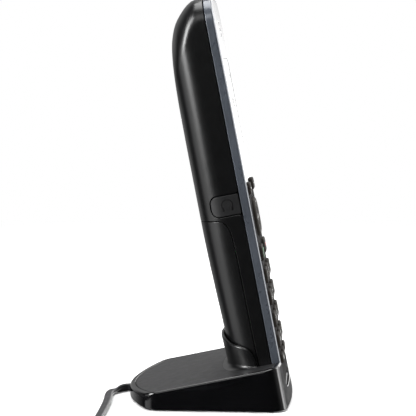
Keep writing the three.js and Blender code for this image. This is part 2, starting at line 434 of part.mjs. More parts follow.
const phone = new THREE.Group();
phone.position.y = CENTRE_Y;
const handset = new THREE.Group();
handset.position.set(0, FACE_Y, FACE_Z);
handset.rotation.x = -LEAN;
phone.add(handset);
const inHandset = new Set(['handset', 'jack_cover', 'nav_key', 'select_key', 'charge_pin_left', 'charge_pin_right', ...keys.map(k => k.name)]);
for (const p of parts) {
  const m = p.solid.getMesh();
  const g = new THREE.BufferGeometry();
  const nv = m.vertProperties.length / m.numProp, pos = new Float32Array(nv * 3);
  for (let i = 0; i < nv; i++) for (let k = 0; k < 3; k++) pos[i * 3 + k] = m.vertProperties[i * m.numProp + k];
  g.setAttribute('position', new THREE.BufferAttribute(pos, 3));
  g.setIndex(new THREE.BufferAttribute(new Uint32Array(m.triVerts), 1));
  g.computeVertexNormals();
  const mesh = new THREE.Mesh(g, materials[p.mat]);
  mesh.name = p.name;
  (inHandset.has(p.group) ? handset : phone).add(mesh);
}
export default phone;
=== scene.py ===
import math

import bpy
import numpy as np
from mathutils import Matrix, Vector
from mathutils.geometry import delaunay_2d_cdt


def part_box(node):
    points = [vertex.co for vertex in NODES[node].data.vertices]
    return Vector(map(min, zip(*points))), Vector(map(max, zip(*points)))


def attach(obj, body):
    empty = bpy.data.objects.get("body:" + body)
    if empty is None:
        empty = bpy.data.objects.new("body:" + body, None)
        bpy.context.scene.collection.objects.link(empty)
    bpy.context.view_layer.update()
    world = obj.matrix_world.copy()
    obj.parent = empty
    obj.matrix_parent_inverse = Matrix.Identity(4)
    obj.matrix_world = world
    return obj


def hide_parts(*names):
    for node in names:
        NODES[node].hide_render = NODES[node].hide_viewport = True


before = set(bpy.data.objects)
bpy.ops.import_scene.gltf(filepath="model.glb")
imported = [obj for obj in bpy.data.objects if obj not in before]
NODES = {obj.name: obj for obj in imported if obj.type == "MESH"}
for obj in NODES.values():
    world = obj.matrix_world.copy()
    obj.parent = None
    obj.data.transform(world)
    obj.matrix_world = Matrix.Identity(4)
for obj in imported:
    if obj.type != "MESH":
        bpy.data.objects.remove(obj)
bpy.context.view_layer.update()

scene = bpy.context.scene

# ------------------------------------------------------------------ frame numbers (from the CAD part)
LEAN = math.radians(11.05)
CL, SL = math.cos(LEAN), math.sin(LEAN)
FACE_Y, FACE_Z = -33.66 - 0.636, 7.7
CY = -0.636
TOP_Z0, TOP_SLOPE = 13.07 + 0.211 * CY, -0.211      # top plane of the cradle in the shifted frame


def top_z(y):
    return TOP_Z0 + TOP_SLOPE * y


def hs_world(P):
    """(x, s, d) of the handset to world millimetres."""
    P = np.asarray(P, float)
    x, s, d = P[:, 0], P[:, 1], P[:, 2]
    return np.stack([x, FACE_Y + d * CL + s * SL, FACE_Z - d * SL + s * CL], 1)


def hs_dir(N):
    N = np.asarray(N, float)
    x, s, d = N[:, 0], N[:, 1], N[:, 2]
    return np.stack([x, d * CL + s * SL, -d * SL + s * CL], 1)


def world_hs(P):
    P = np.asarray(P, float)
    y, z = P[:, 1] - FACE_Y, P[:, 2] - FACE_Z
    return np.stack([P[:, 0], y * SL + z * CL, y * CL - z * SL], 1)


def face_world(P):
    """(x, s, h) with h out of the keypad face."""
    P = np.asarray(P, float)
    return hs_world(np.stack([P[:, 0], P[:, 1], -P[:, 2]], 1))


def face_dir(N):
    N = np.asarray(N, float)
    return hs_dir(np.stack([N[:, 0], N[:, 1], -N[:, 2]], 1))


def same(P):
    return np.asarray(P, float)


# ------------------------------------------------------------------ camera
AZ, EL, DIST = math.radians(-86.0), math.radians(5.48), 0.6455
back = Vector((math.sin(AZ) * math.cos(EL), -math.cos(AZ) * math.cos(EL), math.sin(EL)))
cam = bpy.data.objects.new("camera", bpy.data.cameras.new("camera"))
scene.collection.objects.link(cam)
cam.location = Vector((0, 0.001564, 0.08466)) + back * DIST
cam.rotation_mode = "QUATERNION"
cam.rotation_quaternion = (-back).to_track_quat("-Z", "Y")
cam.data.lens, cam.data.sensor_width, cam.data.sensor_fit = 123.75, 36.0, "HORIZONTAL"
cam.data.clip_start, cam.data.clip_end = 0.01, 30
scene.camera = cam
scene.view_settings.view_transform = "Standard"
scene.view_settings.look = "None"


# ------------------------------------------------------------------ mesh making
def unit(v):
    return v / np.maximum(np.linalg.norm(v, axis=-1, keepdims=True), 1e-12)


def add(name, V, F, mat, body, slot=None, replaces=(), N=None, smooth=True):
    me = bpy.data.meshes.new(name)
    me.from_pydata((np.asarray(V, float) * 0.001).tolist(), [], [tuple(int(i) for i in f) for f in F])
    me.polygons.foreach_set("use_smooth", [smooth] * len(me.polygons))
    me.update()
    if N is not None:
        me.normals_split_custom_set_from_vertices(unit(np.asarray(N, float)).tolist())
    me.materials.append(mat)
    ob = bpy.data.objects.new(name, me)
    scene.collection.objects.link(ob)
    if body:
        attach(ob, body)
    if replaces:
        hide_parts(*replaces)
    return ob


def crease(ob, angle=32):
    """Smooth shading with the edges sharper than the angle kept."""
    me = ob.data
    import bmesh
    bm = bmesh.new()
    bm.from_mesh(me)
    lim = math.radians(angle)
    for e in bm.edges:
        e.smooth = not (len(e.link_faces) == 2 and e.calc_face_angle(0) > lim)
    bm.to_mesh(me)
    bm.free()
    return ob


def pchip(tab):
    X, Y = np.array(tab, float).T
    h, d = np.diff(X), np.diff(Y) / np.diff(X)
    m = np.zeros(len(X))
    for i in range(1, len(X) - 1):
        if d[i - 1] * d[i] > 0:
            w1, w2 = 2 * h[i] + h[i - 1], h[i] + 2 * h[i - 1]
            m[i] = (w1 + w2) / (w1 / d[i - 1] + w2 / d[i])
    m[0], m[-1] = d[0], d[-1]

    def f(x):
        x = np.clip(np.asarray(x, float), X[0], X[-1])
        i = np.clip(np.searchsorted(X, x, side="right") - 1, 0, len(X) - 2)
        t = (x - X[i]) / h[i]
        return ((1 + 2 * t) * (1 - t) ** 2 * Y[i] + t * (1 - t) ** 2 * h[i] * m[i]
                + t * t * (3 - 2 * t) * Y[i + 1] + t * t * (t - 1) * h[i] * m[i + 1])
    return f


def bisect(inside, O, D, far, n=34):
    """Distance along D from O (inside) to the surface."""
    lo, hi = np.zeros(len(O)), np.full(len(O), float(far))
    for _ in range(n):
        mid = (lo + hi) / 2
        ok = inside(O + D * mid[:, None])
        lo, hi = np.where(ok, mid, lo), np.where(ok, hi, mid)
    return lo


class Skin:
    """The surface of a star-like solid seen from a flat core: (a, b) in the core's plane unfolds round its edges."""

    def __init__(self, inside, core, h0, R, far):
        self.inside, self.h0, self.R, self.far = inside, h0, R, far
        self.lo, self.hi = np.array(core[:2], float), np.array(core[2:], float)

    def point(self, U):
        U = np.asarray(U, float)
        c = np.clip(U, self.lo, self.hi)
        e = U - c
        n = np.linalg.norm(e, axis=1)
        w = n / self.R
        d = e / np.maximum(n, 1e-12)[:, None]
        O = np.column_stack([c, np.full(len(U), self.h0)])
        D = np.column_stack([d * np.sin(w)[:, None], np.cos(w)])
        return O + D * bisect(self.inside, O, D, self.far)[:, None]

    def normal(self, U, e=0.04):
        U = np.asarray(U, float)
        a, b = np.array([e, 0]), np.array([0, e])
        return unit(np.cross(self.point(U + a) - self.point(U - a), self.point(U + b) - self.point(U - b)))

    def inv(self, Q):
        Q = np.asarray(Q, float)
        c = np.clip(Q[:, :2], self.lo, self.hi)
        e = Q[:, :2] - c
        n = np.linalg.norm(e, axis=1)
        w = np.arctan2(n, Q[:, 2] - self.h0)
        return c + e / np.maximum(n, 1e-12)[:, None] * (w * self.R)[:, None]


class Flat:
    """A plane h = h0 + slope * b."""

    def __init__(self, h0=0.0, slope=0.0):
        self.h0, self.slope = h0, slope

    def point(self, U):
        U = np.asarray(U, float)
        return np.column_stack([U, self.h0 + self.slope * U[:, 1]])

    def normal(self, U):
        return np.tile(unit(np.array([0, -self.slope, 1.0])), (len(U), 1))

    def inv(self, Q):
        return np.asarray(Q, float)[:, :2].copy()


def resample(P, step):
    P = np.asarray(P, float)
    Q = np.vstack([P, P[:1]])
    L = np.r_[0, np.cumsum(np.linalg.norm(np.diff(Q, axis=0), axis=1))]
    n = max(8, int(round(L[-1] / step)))
    t = np.arange(n) * L[-1] / n
    return np.column_stack([np.interp(t, L, Q[:, k]) for k in range(P.shape[1])])


def soften(P, passes):
    P = np.asarray(P, float)
    for _ in range(passes):
        P = 0.25 * np.roll(P, 1, 0) + 0.5 * P + 0.25 * np.roll(P, -1, 0)
    return P


def area2(P):
    x, y = P[:, 0], P[:, 1]
    return float(np.sum(x * np.roll(y, -1) - y * np.roll(x, -1)))


def in_poly(pts, poly):
    x, y = pts[:, 0], pts[:, 1]
    c = np.zeros(len(pts), bool)
    A, B = poly, np.roll(poly, -1, 0)
    for (ax, ay), (bx, by) in zip(A, B):
        if ay == by:
            continue
        m = (ay > y) != (by > y)
        c ^= m & (x < (bx - ax) * (y - ay) / (by - ay) + ax)
    return c


def near(pts, poly):
    """Distance of each point to the nearest vertex of a finely sampled loop."""
    out = np.full(len(pts), 1e9)
    for i in range(0, len(poly), 64):
        p = poly[i:i + 64]
        out = np.minimum(out, np.sqrt(((pts[:, None, :] - p[None]) ** 2).sum(2)).min(1))
    return out


def round_edge(r, T, k=4):
    """Edge profile: (outward, down, normal outward, normal up)."""
    out = [(r * math.sin(t), r * (1 - math.cos(t)), math.sin(t), math.cos(t)) for t in np.linspace(0, math.pi / 2, k + 1)[1:]]
    return out + [(r, T, 1, 0)]


def full_round(r, k=10):
    return [(r * math.sin(t), r * (1 - math.cos(t)), math.sin(t), math.cos(t)) for t in np.linspace(0, math.pi, k + 1)[1:]]


def patch(name, skin, loops, T, mat, body, to=hs_world, dirs=hs_dir, flip=True, r=0.25, step=1.25, bstep=0.7,
          profiles=None, passes=2, lines=(), **kw):
    """A shell of thickness T over the region inside loops[0] and outside the others (all in the skin's domain),
    with every edge rounded. Returns the object."""
    profiles = profiles or {}
    data = []
    for i, L in enumerate(loops):
        L = np.asarray(L, float)
        if (area2(L) > 0) != (i == 0):
            L = L[::-1]
        L = soften(resample(L, bstep), passes)
        P, N = skin.point(L), skin.normal(L)
        t = unit(np.roll(P, -1, 0) - np.roll(P, 1, 0))
        B = unit(np.cross(N, t))
        ri = r if i not in profiles else profiles[i][0]
        U = skin.inv(P + B * ri) if ri > 0 else L
        U = soften(U, 1) if ri > 0.5 else U
        P1, N1 = skin.point(U), skin.normal(U)
        t = unit(np.roll(P1, -1, 0) - np.roll(P1, 1, 0))
        data.append((U, P1, N1, unit(np.cross(N1, t))))
    allU = np.vstack([d[0] for d in data])
    lo, hi = data[0][0].min(0), data[0][0].max(0)
    gx, gy = np.arange(lo[0], hi[0] + step, step), np.arange(lo[1], hi[1] + step, step * 0.866)
    G = np.array([(x + (step / 2 if j % 2 else 0), y) for j, y in enumerate(gy) for x in gx])
    keep = in_poly(G, data[0][0])
    for d in data[1:]:
        keep &= ~in_poly(G, d[0])
    G = G[keep]
    if len(G):
        G = G[near(G, allU) > 0.62 * step]
    pts = np.vstack([allU, G]) if len(G) else allU
    edges, start, rings = [], 0, []
    for d in data:
        n = len(d[0])
        rings.append(np.arange(start, start + n))
        edges += [(start + i, start + (i + 1) % n) for i in range(n)]
        start += n
    if len(lines):
        # rows of points along a tight rounding, kept as edges of the mesh
        gone = np.zeros(len(pts), bool)
        for Lr in lines:
            gone[len(allU):] |= near(pts[len(allU):], Lr) < 0.45 * step
        pts = pts[~gone]
        for Lr in lines:
            ok = in_poly(Lr, data[0][0]) & (near(Lr, allU) > 0.3)
            for d in data[1:]:
                ok &= ~in_poly(Lr, d[0])
            base_i = len(pts)
            ids = np.cumsum(ok) - 1 + base_i
            pts = np.vstack([pts, Lr[ok]])
            for k in range(len(Lr)):
                q = (k + 1) % len(Lr)
                if ok[k] and ok[q] and np.linalg.norm(Lr[k] - Lr[q]) < 3.0:
                    edges.append((int(ids[k]), int(ids[q])))
    vs, _, fs, ov, _, _ = delaunay_2d_cdt([Vector(p) for p in pts.tolist()], edges, [], 0, 1e-7, True)
    W = np.array([tuple(v) for v in vs], float)
    back_id = {}
    for new, olds in enumerate(ov):
        for o in olds:
            back_id[o] = new
    tri = np.array([f for f in fs if len(f) == 3], int)
    cen = W[tri].mean(1)
    keep = in_poly(cen, data[0][0])
    for d in data[1:]:
        keep &= ~in_poly(cen, d[0])
    tri = tri[keep]
    a = W[tri]
    ar = (a[:, 1, 0] - a[:, 0, 0]) * (a[:, 2, 1] - a[:, 0, 1]) - (a[:, 2, 0] - a[:, 0, 0]) * (a[:, 1, 1] - a[:, 0, 1])
    tri[ar < 0] = tri[ar < 0][:, ::-1]
    tri = tri[np.abs(ar) > 1e-9]
    P, N = skin.point(W), skin.normal(W)
    n0 = len(W)
    V, NN, F = [P, P - N * T], [N, -N], [tuple(f) for f in tri] + [(f[2] + n0, f[1] + n0, f[0] + n0) for f in tri]
    count = 2 * n0
    for i, (U, P1, N1, B1) in enumerate(data):
        ring = np.array([back_id[k] for k in rings[i]])
        prof = profiles[i][1] if i in profiles else round_edge(r, T)
        prev, m = ring, len(ring)
        for o, p, no, nu in prof:
            V.append(P1 - B1 * o - N1 * p)
            NN.append(-B1 * no + N1 * nu)
            cur = np.arange(count, count + m)
            count += m
            for k in range(m):
                q = (k + 1) % m
                F.append((prev[k], cur[k], cur[q], prev[q]))
            prev = cur
        inner = ring + n0
        for k in range(m):
            q = (k + 1) % m
            F.append((prev[k], inner[k], inner[q], prev[q]))
    V, NN = to(np.vstack(V)), dirs(np.vstack(NN))
    if flip:
        F = [f[::-1] for f in F]
    return add(name, V, F, mat, body, N=NN, **kw)


def rr(cx, cy, hw, hh, r, n=8):
    """Rounded rectangle: points and outward normals, counter-clockwise."""
    r = max(min(r, hw, hh), 0.01)
    P, N = [], []
    for sx, sy, a0 in ((1, -1, -90), (1, 1, 0), (-1, 1, 90), (-1, -1, 180)):
        for k in range(n + 1):
            a = math.radians(a0 + 90 * k / n)
            P.append((cx + sx * (hw - r) + r * math.cos(a), cy + sy * (hh - r) + r * math.sin(a)))
            N.append((math.cos(a), math.sin(a)))
    return np.array(P), np.array(N)


def stack(name, rings, mat, body, to=face_world, dirs=face_dir, flip=False, crown=0.0, N=True, **kw):
    """Closed solid over rings of (points n x 3, normals n x 3) from the foot up, the last closed with a crowned cap."""
    m = len(rings[0][0])
    V, NN, F = [], [], []
    for P, Q in rings:
        V.append(P)
        NN.append(Q)
    for k in range(len(rings) - 1):
        a, b = k * m, (k + 1) * m
        F += [(a + i, a + (i + 1) % m, b + (i + 1) % m, b + i) for i in range(m)]
    P, Q = rings[-1]
    c = P.mean(0)
    base, up = len(rings) * m, (len(rings) - 1) * m
    steps = (0.75, 0.5, 0.25)
    for f in steps:
        R = c + (P - c) * f
        R[:, 2] = P[:, 2].mean() + crown * (1 - f * f)
        n = np.column_stack([(P - c)[:, :2] * f * 2 * crown / max(1e-6, np.abs((P - c)[:, :2]).max() ** 2), np.ones(m)])
        V.append(R)
        NN.append(n)
        b = len(V) * m - m
        F += [(up + i, up + (i + 1) % m, b + (i + 1) % m, b + i) for i in range(m)]
        up = b
    V.append(np.array([[c[0], c[1], P[:, 2].mean() + crown]]))
    NN.append(np.array([[0, 0, 1.0]]))
    top = len(V[0]) * 0 + sum(len(v) for v in V) - 1
    F += [(up + i, up + (i + 1) % m, top) for i in range(m)]
    c0 = rings[0][0].mean(0)
    V.append(c0[None])
    NN.append(np.array([[0, 0, -1.0]]))
    F += [((i + 1) % m, i, top + 1) for i in range(m)]
    V, NN = to(np.vstack(V)), dirs(np.vstack(NN))
    if flip:
        F = [f[::-1] for f in F]
    return add(name, V, F, mat, body, N=NN if N else None, **kw)


def cap_rings(cx, cy, hw, hh, r, prof, n=8):
    """prof: (inset, height, normal outward, normal up) from the foot up."""
    out = []
    for i, h, no, nu in prof:
        P, Q = rr(cx, cy, hw - i, hh - i, max(r - i, 0.05), n)
        out.append((np.column_stack([P, np.full(len(P), h)]), np.column_stack([Q * no, np.full(len(P), nu)])))
    return out


# ------------------------------------------------------------------ materials
def new_mat(name):
    m = bpy.data.materials.new(name)
    m.use_nodes = True
    nt = m.node_tree
    return m, nt, nt.nodes["Principled BSDF"]


def moulded(name, color, rough, grain=0.28, bump=0.012, spread=0.14, rspread=0.05, metallic=0.0, coat=0.0, coat_rough=0.05,
            spec=0.5, flake=0.0, dust=0.0, dust_color=(0.35, 0.34, 0.33), stretch=None, sheen=0.0):
    """Moulded or painted plastic: spark-eroded grain, cloudy colour, uneven gloss and a little dust, in millimetres."""
    m, nt, b = new_mat(name)
    nodes, link = nt.nodes, nt.links.new
    tc = nodes.new("ShaderNodeTexCoord")
    co = tc.outputs["Object"]
    if stretch:
        mp = nodes.new("ShaderNodeMapping")
        mp.inputs["Scale"].default_value = stretch
        link(co, mp.inputs["Vector"])
        co_s = mp.outputs["Vector"]
    else:
        co_s = co
    cloud = nodes.new("ShaderNodeTexNoise")
    cloud.inputs["Scale"].default_value = 55
    cloud.inputs["Detail"].default_value = 4
    link(co, cloud.inputs["Vector"])
    ramp = nodes.new("ShaderNodeMapRange")
    ramp.inputs["From Min"].default_value, ramp.inputs["From Max"].default_value = 0.3, 0.7
    ramp.inputs["To Min"].default_value, ramp.inputs["To Max"].default_value = 1 - spread, 1 + spread
    link(cloud.outputs["Fac"], ramp.inputs["Value"])
    tint = nodes.new("ShaderNodeVectorMath")
    tint.operation = "SCALE"
    tint.inputs[0].default_value = color
    link(ramp.outputs["Result"], tint.inputs["Scale"])
    out_color = tint.outputs["Vector"]
    grit = nodes.new("ShaderNodeTexNoise")
    grit.inputs["Scale"].default_value = 1000 / grain
    grit.inputs["Detail"].default_value = 2.5
    grit.inputs["Roughness"].default_value = 0.6
    link(co_s, grit.inputs["Vector"])
    if flake:
        fl = nodes.new("ShaderNodeTexVoronoi")
        fl.inputs["Scale"].default_value = 1000 / 0.16
        link(co, fl.inputs["Vector"])
        fr = nodes.new("ShaderNodeMapRange")
        fr.inputs["From Min"].default_value, fr.inputs["From Max"].default_value = 0.55, 1.0
        fr.inputs["To Min"].default_value, fr.inputs["To Max"].default_value = 0, flake
        link(fl.outputs["Color"], fr.inputs["Value"])
        mix = nodes.new("ShaderNodeMix")
        mix.data_type = "RGBA"
        mix.inputs[7].default_value = (min(1, color[0] * 2.6), min(1, color[1] * 2.6), min(1, color[2] * 2.7), 1)
        link(fr.outputs["Result"], mix.inputs[0])
        link(out_color, mix.inputs[6])
        out_color = mix.outputs[2]
    if dust:
        dn = nodes.new("ShaderNodeTexNoise")
        dn.inputs["Scale"].default_value = 900
        dn.inputs["Detail"].default_value = 6
        link(co, dn.inputs["Vector"])
        geo = nodes.new("ShaderNodeNewGeometry")
        sep = nodes.new("ShaderNodeSeparateXYZ")
        link(geo.outputs["Normal"], sep.inputs["Vector"])
        dr = nodes.new("ShaderNodeMapRange")
        dr.inputs["From Min"].default_value, dr.inputs["From Max"].default_value = 0.56, 0.82
        dr.inputs["To Min"].default_value, dr.inputs["To Max"].default_value = 0, dust
        link(dn.outputs["Fac"], dr.inputs["Value"])
        up = nodes.new("ShaderNodeMath")
        up.operation = "MULTIPLY"
        up.use_clamp = True
        link(dr.outputs["Result"], up.inputs[0])
        link(sep.outputs["Z"], up.inputs[1])
        mix = nodes.new("ShaderNodeMix")
        mix.data_type = "RGBA"
        mix.inputs[7].default_value = (*dust_color, 1)
        link(up.outputs["Value"], mix.inputs[0])
        link(out_color, mix.inputs[6])
        out_color = mix.outputs[2]
    link(out_color, b.inputs["Base Color"])
    wear = nodes.new("ShaderNodeTexNoise")
    wear.inputs["Scale"].default_value = 240
    wear.inputs["Detail"].default_value = 5
    wear.inputs["Distortion"].default_value = 0.6
    link(co_s, wear.inputs["Vector"])
    rg = nodes.new("ShaderNodeMapRange")
    rg.inputs["From Min"].default_value, rg.inputs["From Max"].default_value = 0.3, 0.7
    rg.inputs["To Min"].default_value, rg.inputs["To Max"].default_value = rough - rspread, rough + rspread
    link(wear.outputs["Fac"], rg.inputs["Value"])
    link(rg.outputs["Result"], b.inputs["Roughness"])
    bp = nodes.new("ShaderNodeBump")
    bp.inputs["Strength"].default_value = 1.0
    bp.inputs["Distance"].default_value = bump * 0.001
    link(grit.outputs["Fac"], bp.inputs["Height"])
    link(bp.outputs["Normal"], b.inputs["Normal"])
    b.inputs["Metallic"].default_value = metallic
    b.inputs["Specular IOR Level"].default_value = spec
    b.inputs["Coat Weight"].default_value = coat
    b.inputs["Coat Roughness"].default_value = coat_rough
    if sheen:
        b.inputs["Sheen Weight"].default_value = sheen
        b.inputs["Sheen Roughness"].default_value = 0.5
    return m


SHELL = moulded("shell_satin_black", (0.0011, 0.0012, 0.0014), 0.30, grain=0.3, bump=0.005, dust=0.03, rspread=0.018, spread=0.08)
DOOR = moulded("door_satin_black", (0.0013, 0.0014, 0.0016), 0.32, grain=0.3, bump=0.0065, dust=0.03, rspread=0.018, spread=0.08)
BEZEL = moulded("bezel_slate_paint", (0.050, 0.057, 0.069), 0.30, grain=0.22, bump=0.004, metallic=0.35, flake=0.25, coat=0.45, coat_rough=0.10)
FACE = moulded("face_gloss", (0.014, 0.015, 0.018), 0.06, grain=3, bump=0.002, rspread=0.02, coat=0.6, coat_rough=0.03)
PAD = moulded("keypad_satin", (0.010, 0.0092, 0.0085), 0.85, grain=0.3, bump=0.010, spec=0.06)
FRONT = moulded("cradle_front_satin", (0.005, 0.005, 0.0056), 0.66, grain=0.3, bump=0.008, spec=0.06)
MATTE = moulded("panel_satin_black", (0.0080, 0.0080, 0.0087), 0.47, grain=0.3, bump=0.006, spread=0.08, dust=0.02, spec=0.42)
GLOSS = moulded("cradle_gloss_black", (0.0018, 0.0018, 0.0021), 0.085, grain=4, bump=0.002, rspread=0.03, spread=0.3, dust=0.03)


def satin_towards_front(m, rough):
    """The polish fades to satin where the wall turns to the front (object-space normal)."""
    nt = m.node_tree
    b = nt.nodes["Principled BSDF"]
    src = b.inputs["Roughness"].links[0].from_socket
    geo, sep = nt.nodes.new("ShaderNodeNewGeometry"), nt.nodes.new("ShaderNodeSeparateXYZ")
    f, mx = nt.nodes.new("ShaderNodeMapRange"), nt.nodes.new("ShaderNodeMix")
    f.inputs["From Min"].default_value, f.inputs["From Max"].default_value = -0.87, -0.965
    nt.links.new(geo.outputs["Normal"], sep.inputs["Vector"])
    nt.links.new(sep.outputs["Y"], f.inputs["Value"])
    nt.links.new(f.outputs["Result"], mx.inputs[0])
    nt.links.new(src, mx.inputs[2])
    mx.inputs[3].default_value = rough
    nt.links.new(mx.outputs[0], b.inputs["Roughness"])


satin_towards_front(GLOSS, 0.66)
RUBBER = moulded("rubber_charcoal", (0.018, 0.018, 0.020), 0.72, grain=0.35, bump=0.02, sheen=0.15)
FLAP = moulded("flap_rubber", (0.0042, 0.0043, 0.0048), 0.50, grain=0.32, bump=0.016, spec=0.35)
KEYS = moulded("key_rubber_umber", (0.026, 0.0225, 0.0195), 0.78, grain=0.3, bump=0.012, spread=0.12, spec=0.12)
TALK = moulded("key_talk_green", (0.05, 0.42, 0.12), 0.44, grain=0.3, bump=0.008)
OFF = moulded("key_end_red", (0.55, 0.045, 0.035), 0.44, grain=0.3, bump=0.008)
LEGEND = moulded("legend_print", (0.72, 0.72, 0.70), 0.5, grain=0.2, bump=0.003, spread=0.05)
LENS = moulded("lens_black", (0.006, 0.0065, 0.008), 0.05, grain=5, bump=0.001, rspread=0.01, coat=1.0, coat_rough=0.02)
LCD = moulded("lcd_grey", (0.20, 0.235, 0.205), 0.16, grain=0.5, bump=0.001, spread=0.05, rspread=0.03, coat=1.0, coat_rough=0.02)
SEGMENT = moulded("lcd_segment", (0.018, 0.024, 0.022), 0.18, grain=0.5, bump=0.001, coat=1.0, coat_rough=0.02)
STEEL = moulded("steel_brushed", (0.46, 0.46, 0.45), 0.30, grain=0.12, bump=0.004, metallic=1.0, spread=0.08, stretch=(1, 1, 12))
NICKEL = moulded("nickel_blade", (0.62, 0.60, 0.55), 0.22, grain=0.1, bump=0.003, metallic=1.0, spread=0.06, stretch=(12, 1, 12))
GOLD = moulded("gold_flash", (0.80, 0.55, 0.20), 0.24, grain=0.1, bump=0.003, metallic=1.0, spread=0.08)
BOARD = moulded("solder_mask", (0.018, 0.115, 0.045), 0.42, grain=0.4, bump=0.01, spread=0.2, coat=0.4)
CELL = moulded("cell_sleeve", (0.045, 0.20, 0.075), 0.30, grain=0.6, bump=0.004, coat=0.3)
LEAD = moulded("lead_pvc", (0.0115, 0.0117, 0.0135), 0.34, grain=0.5, bump=0.006, dust=0.04)
ADAPT = moulded("adapter_grain_black", (0.0135, 0.0135, 0.0145), 0.52, grain=0.45, bump=0.03, dust=0.06)
# near-black, low-gloss material that paints shade: put in grooves, behind gaps, under seams and on the flap's mark so
# that they read dark
RECESS_SHADE = moulded("painted_recess_shade", (0.0015, 0.0015, 0.0018), 0.6, grain=0.3, bump=0.004, spec=0.2)

# ------------------------------------------------------------------ mains lead: route, coil, tail
LEAD_W, LEAD_T = 3.6, 1.9
COIL = np.array([-98.0, 17.0 + CY])


def catmull(P, per=8):
    P = np.asarray(P, float)
    Q = np.vstack([2 * P[0] - P[1], P, 2 * P[-1] - P[-2]])
    out = []
    for i in range(1, len(Q) - 2):
        p0, p1, p2, p3 = Q[i - 1:i + 3]
        for t in np.arange(per) / per:
            out.append(0.5 * (2 * p1 + (p2 - p0) * t + (2 * p0 - 5 * p1 + 4 * p2 - p3) * t * t + (3 * p1 - p0 - 3 * p2 + p3) * t ** 3))
    out.append(P[-1])
    return np.array(out)


def lead_route():
    lead = [[0, 35.4, 1.9], [0, 37.2, 1.9], [0, 39.2, 1.85], [-1.4, 42.2, 1.6], [-5, 45.2, 1.25], [-10.5, 46.3, 1.02], [-24, 45.2, 1.0],
            [-46, 44.6, 1.0], [-62, 44.6, 1.0], [-76, 44.4, 1.05], [-84, 44.15, 1.3]]
    lead = np.array(lead) + [0, CY, 0]
    radii = [26.2, 22.45, 18.7, 15.0, 15.0, 18.7, 22.45, 26.2, 15.0, 18.7, 22.45]
    level = [1.86, 1.86, 1.86, 1.86, 3.76, 3.76, 3.76, 3.76, 5.66, 5.66, 5.66]
    arc = []
    turns = len(radii)
    for k in range(0, int(turns * 36) + 4):                     # every 10 degrees
        a = 90 + k * 10
        t = k / 36
        i = min(int(t), turns - 1)
        f = t - i
        j = min(i + 1, turns - 1)
        u = np.clip((f - 0.62) / 0.38, 0, 1)
        u = u * u * (3 - 2 * u)
        rise = np.clip((f - 0.40) / 0.24, 0, 1)
        rise = rise * rise * (3 - 2 * rise)                     # the turn climbs before it crosses the ones below
        if i == turns - 1:
            u = rise = 0
        r, z = radii[i] + (radii[j] - radii[i]) * u, level[i] + (level[j] - level[i]) * rise
        if k < 4:                                              # settle from the floor onto the strap
            z = 1.45 + (1.86 - 1.45) * k / 4
        arc.append([COIL[0] + r * math.cos(math.radians(a)), COIL[1] + r * math.sin(math.radians(a)), z])
    arc = np.array(arc)
    d = arc[-1] - arc[-2]
    d = d / np.linalg.norm(d[:2])
    last = arc[-1]
    off = [[last[0] + d[0] * 7.5, last[1] + d[1] * 7.5, 5.6], [last[0] + d[0] * 14, last[1] + d[1] * 14, 4.9]]
    tail = np.vstack([off, np.array([[-131.6, 25.4, 2.6], [-135.2, 21.9, 2.2], [-139.0, 20.2, 2.7], [-142.4, 20.0, 3.0], [-145.5, 20.0, 3.0]]) + [0, CY, 0]])
    ctrl = np.vstack([lead, arc, tail])
    return ctrl, len(lead)


ctrl, n_lead = lead_route()
route = np.vstack([catmull(ctrl[:n_lead + 1], 6)[:-1], ctrl[n_lead:-8], catmull(ctrl[-8:], 6)])


def smooth_route(P, passes=2):
    for _ in range(passes):
        P = P.copy()
        P[1:-1] = 0.25 * P[:-2] + 0.5 * P[1:-1] + 0.25 * P[2:]
    return P


route = smooth_route(route)


def sweep(name, P, section, mat, body, roll=None, up=(0, 0, 1), caps=True, **kw):
    """section(t) gives points (across, up) round the path; roll turns it about the path, in radians."""
    P = np.asarray(P, float)
    t = unit(np.gradient(P, axis=0))
    side = unit(np.cross(np.tile(up, (len(P), 1)).astype(float), t))
    nor = np.cross(t, side)
    if roll is not None:
        c, s = np.cos(roll)[:, None], np.sin(roll)[:, None]
        side, nor = side * c + nor * s, nor * c - side * s
    V, F = [], []
    for i in range(len(P)):
        S = section(i)
        V.append(P[i] + side[i] * S[:, :1] + nor[i] * S[:, 1:2])
    m = len(V[0])
    for i in range(len(P) - 1):
        a, b = i * m, (i + 1) * m
        F += [(a + k, a + (k + 1) % m, b + (k + 1) % m, b + k) for k in range(m)]
    if caps:
        F += [tuple(range(m))[::-1], tuple(range((len(P) - 1) * m, len(P) * m))]
    F = [f[::-1] for f in F]
    return add(name, np.vstack(V), F, mat, body, **kw)


def figure8(n=22):
    out = []
    h = LEAD_T / 2
    c = LEAD_W / 2 - h
    for k in range(n):
        a = 2 * math.pi * k / n
        x, y = math.cos(a), math.sin(a)
        X = np.sign(x) * c * min(1, abs(x) * 1.6) + h * x
        dip = 1 - 0.34 * math.exp(-(X / 0.42) ** 2)
        out.append((X, h * y * dip))
    return np.array(out)


LEAD_SEC = figure8()
arc_len = np.r_[0, np.cumsum(np.linalg.norm(np.diff(route, axis=0), axis=1))]
roll = np.radians(90) * (1 - np.clip((arc_len - 4) / 9, 0, 1) ** 2 * (3 - 2 * np.clip((arc_len - 4) / 9, 0, 1)))
cord = sweep("mains_lead", route, lambda i: LEAD_SEC, LEAD, "base", roll=roll, slot="lead", replaces=["cord_lead", "cord_tail", "cord_coil"])
LEAD_LENGTH = float(arc_len[-1])
print("lead length mm", round(LEAD_LENGTH, 1))


def strap_loop():
    """Closed strap round one side of the coil."""
    y0, y1 = COIL[1] - 28.3 - 0.25, COIL[1] - 13.0 + 0.3
    z0, z1 = 0.36, 7.3
    P, _ = rr((y0 + y1) / 2, (z0 + z1) / 2, (y1 - y0) / 2 + 0.3, (z1 - z0) / 2, 1.6, 6)
    return P


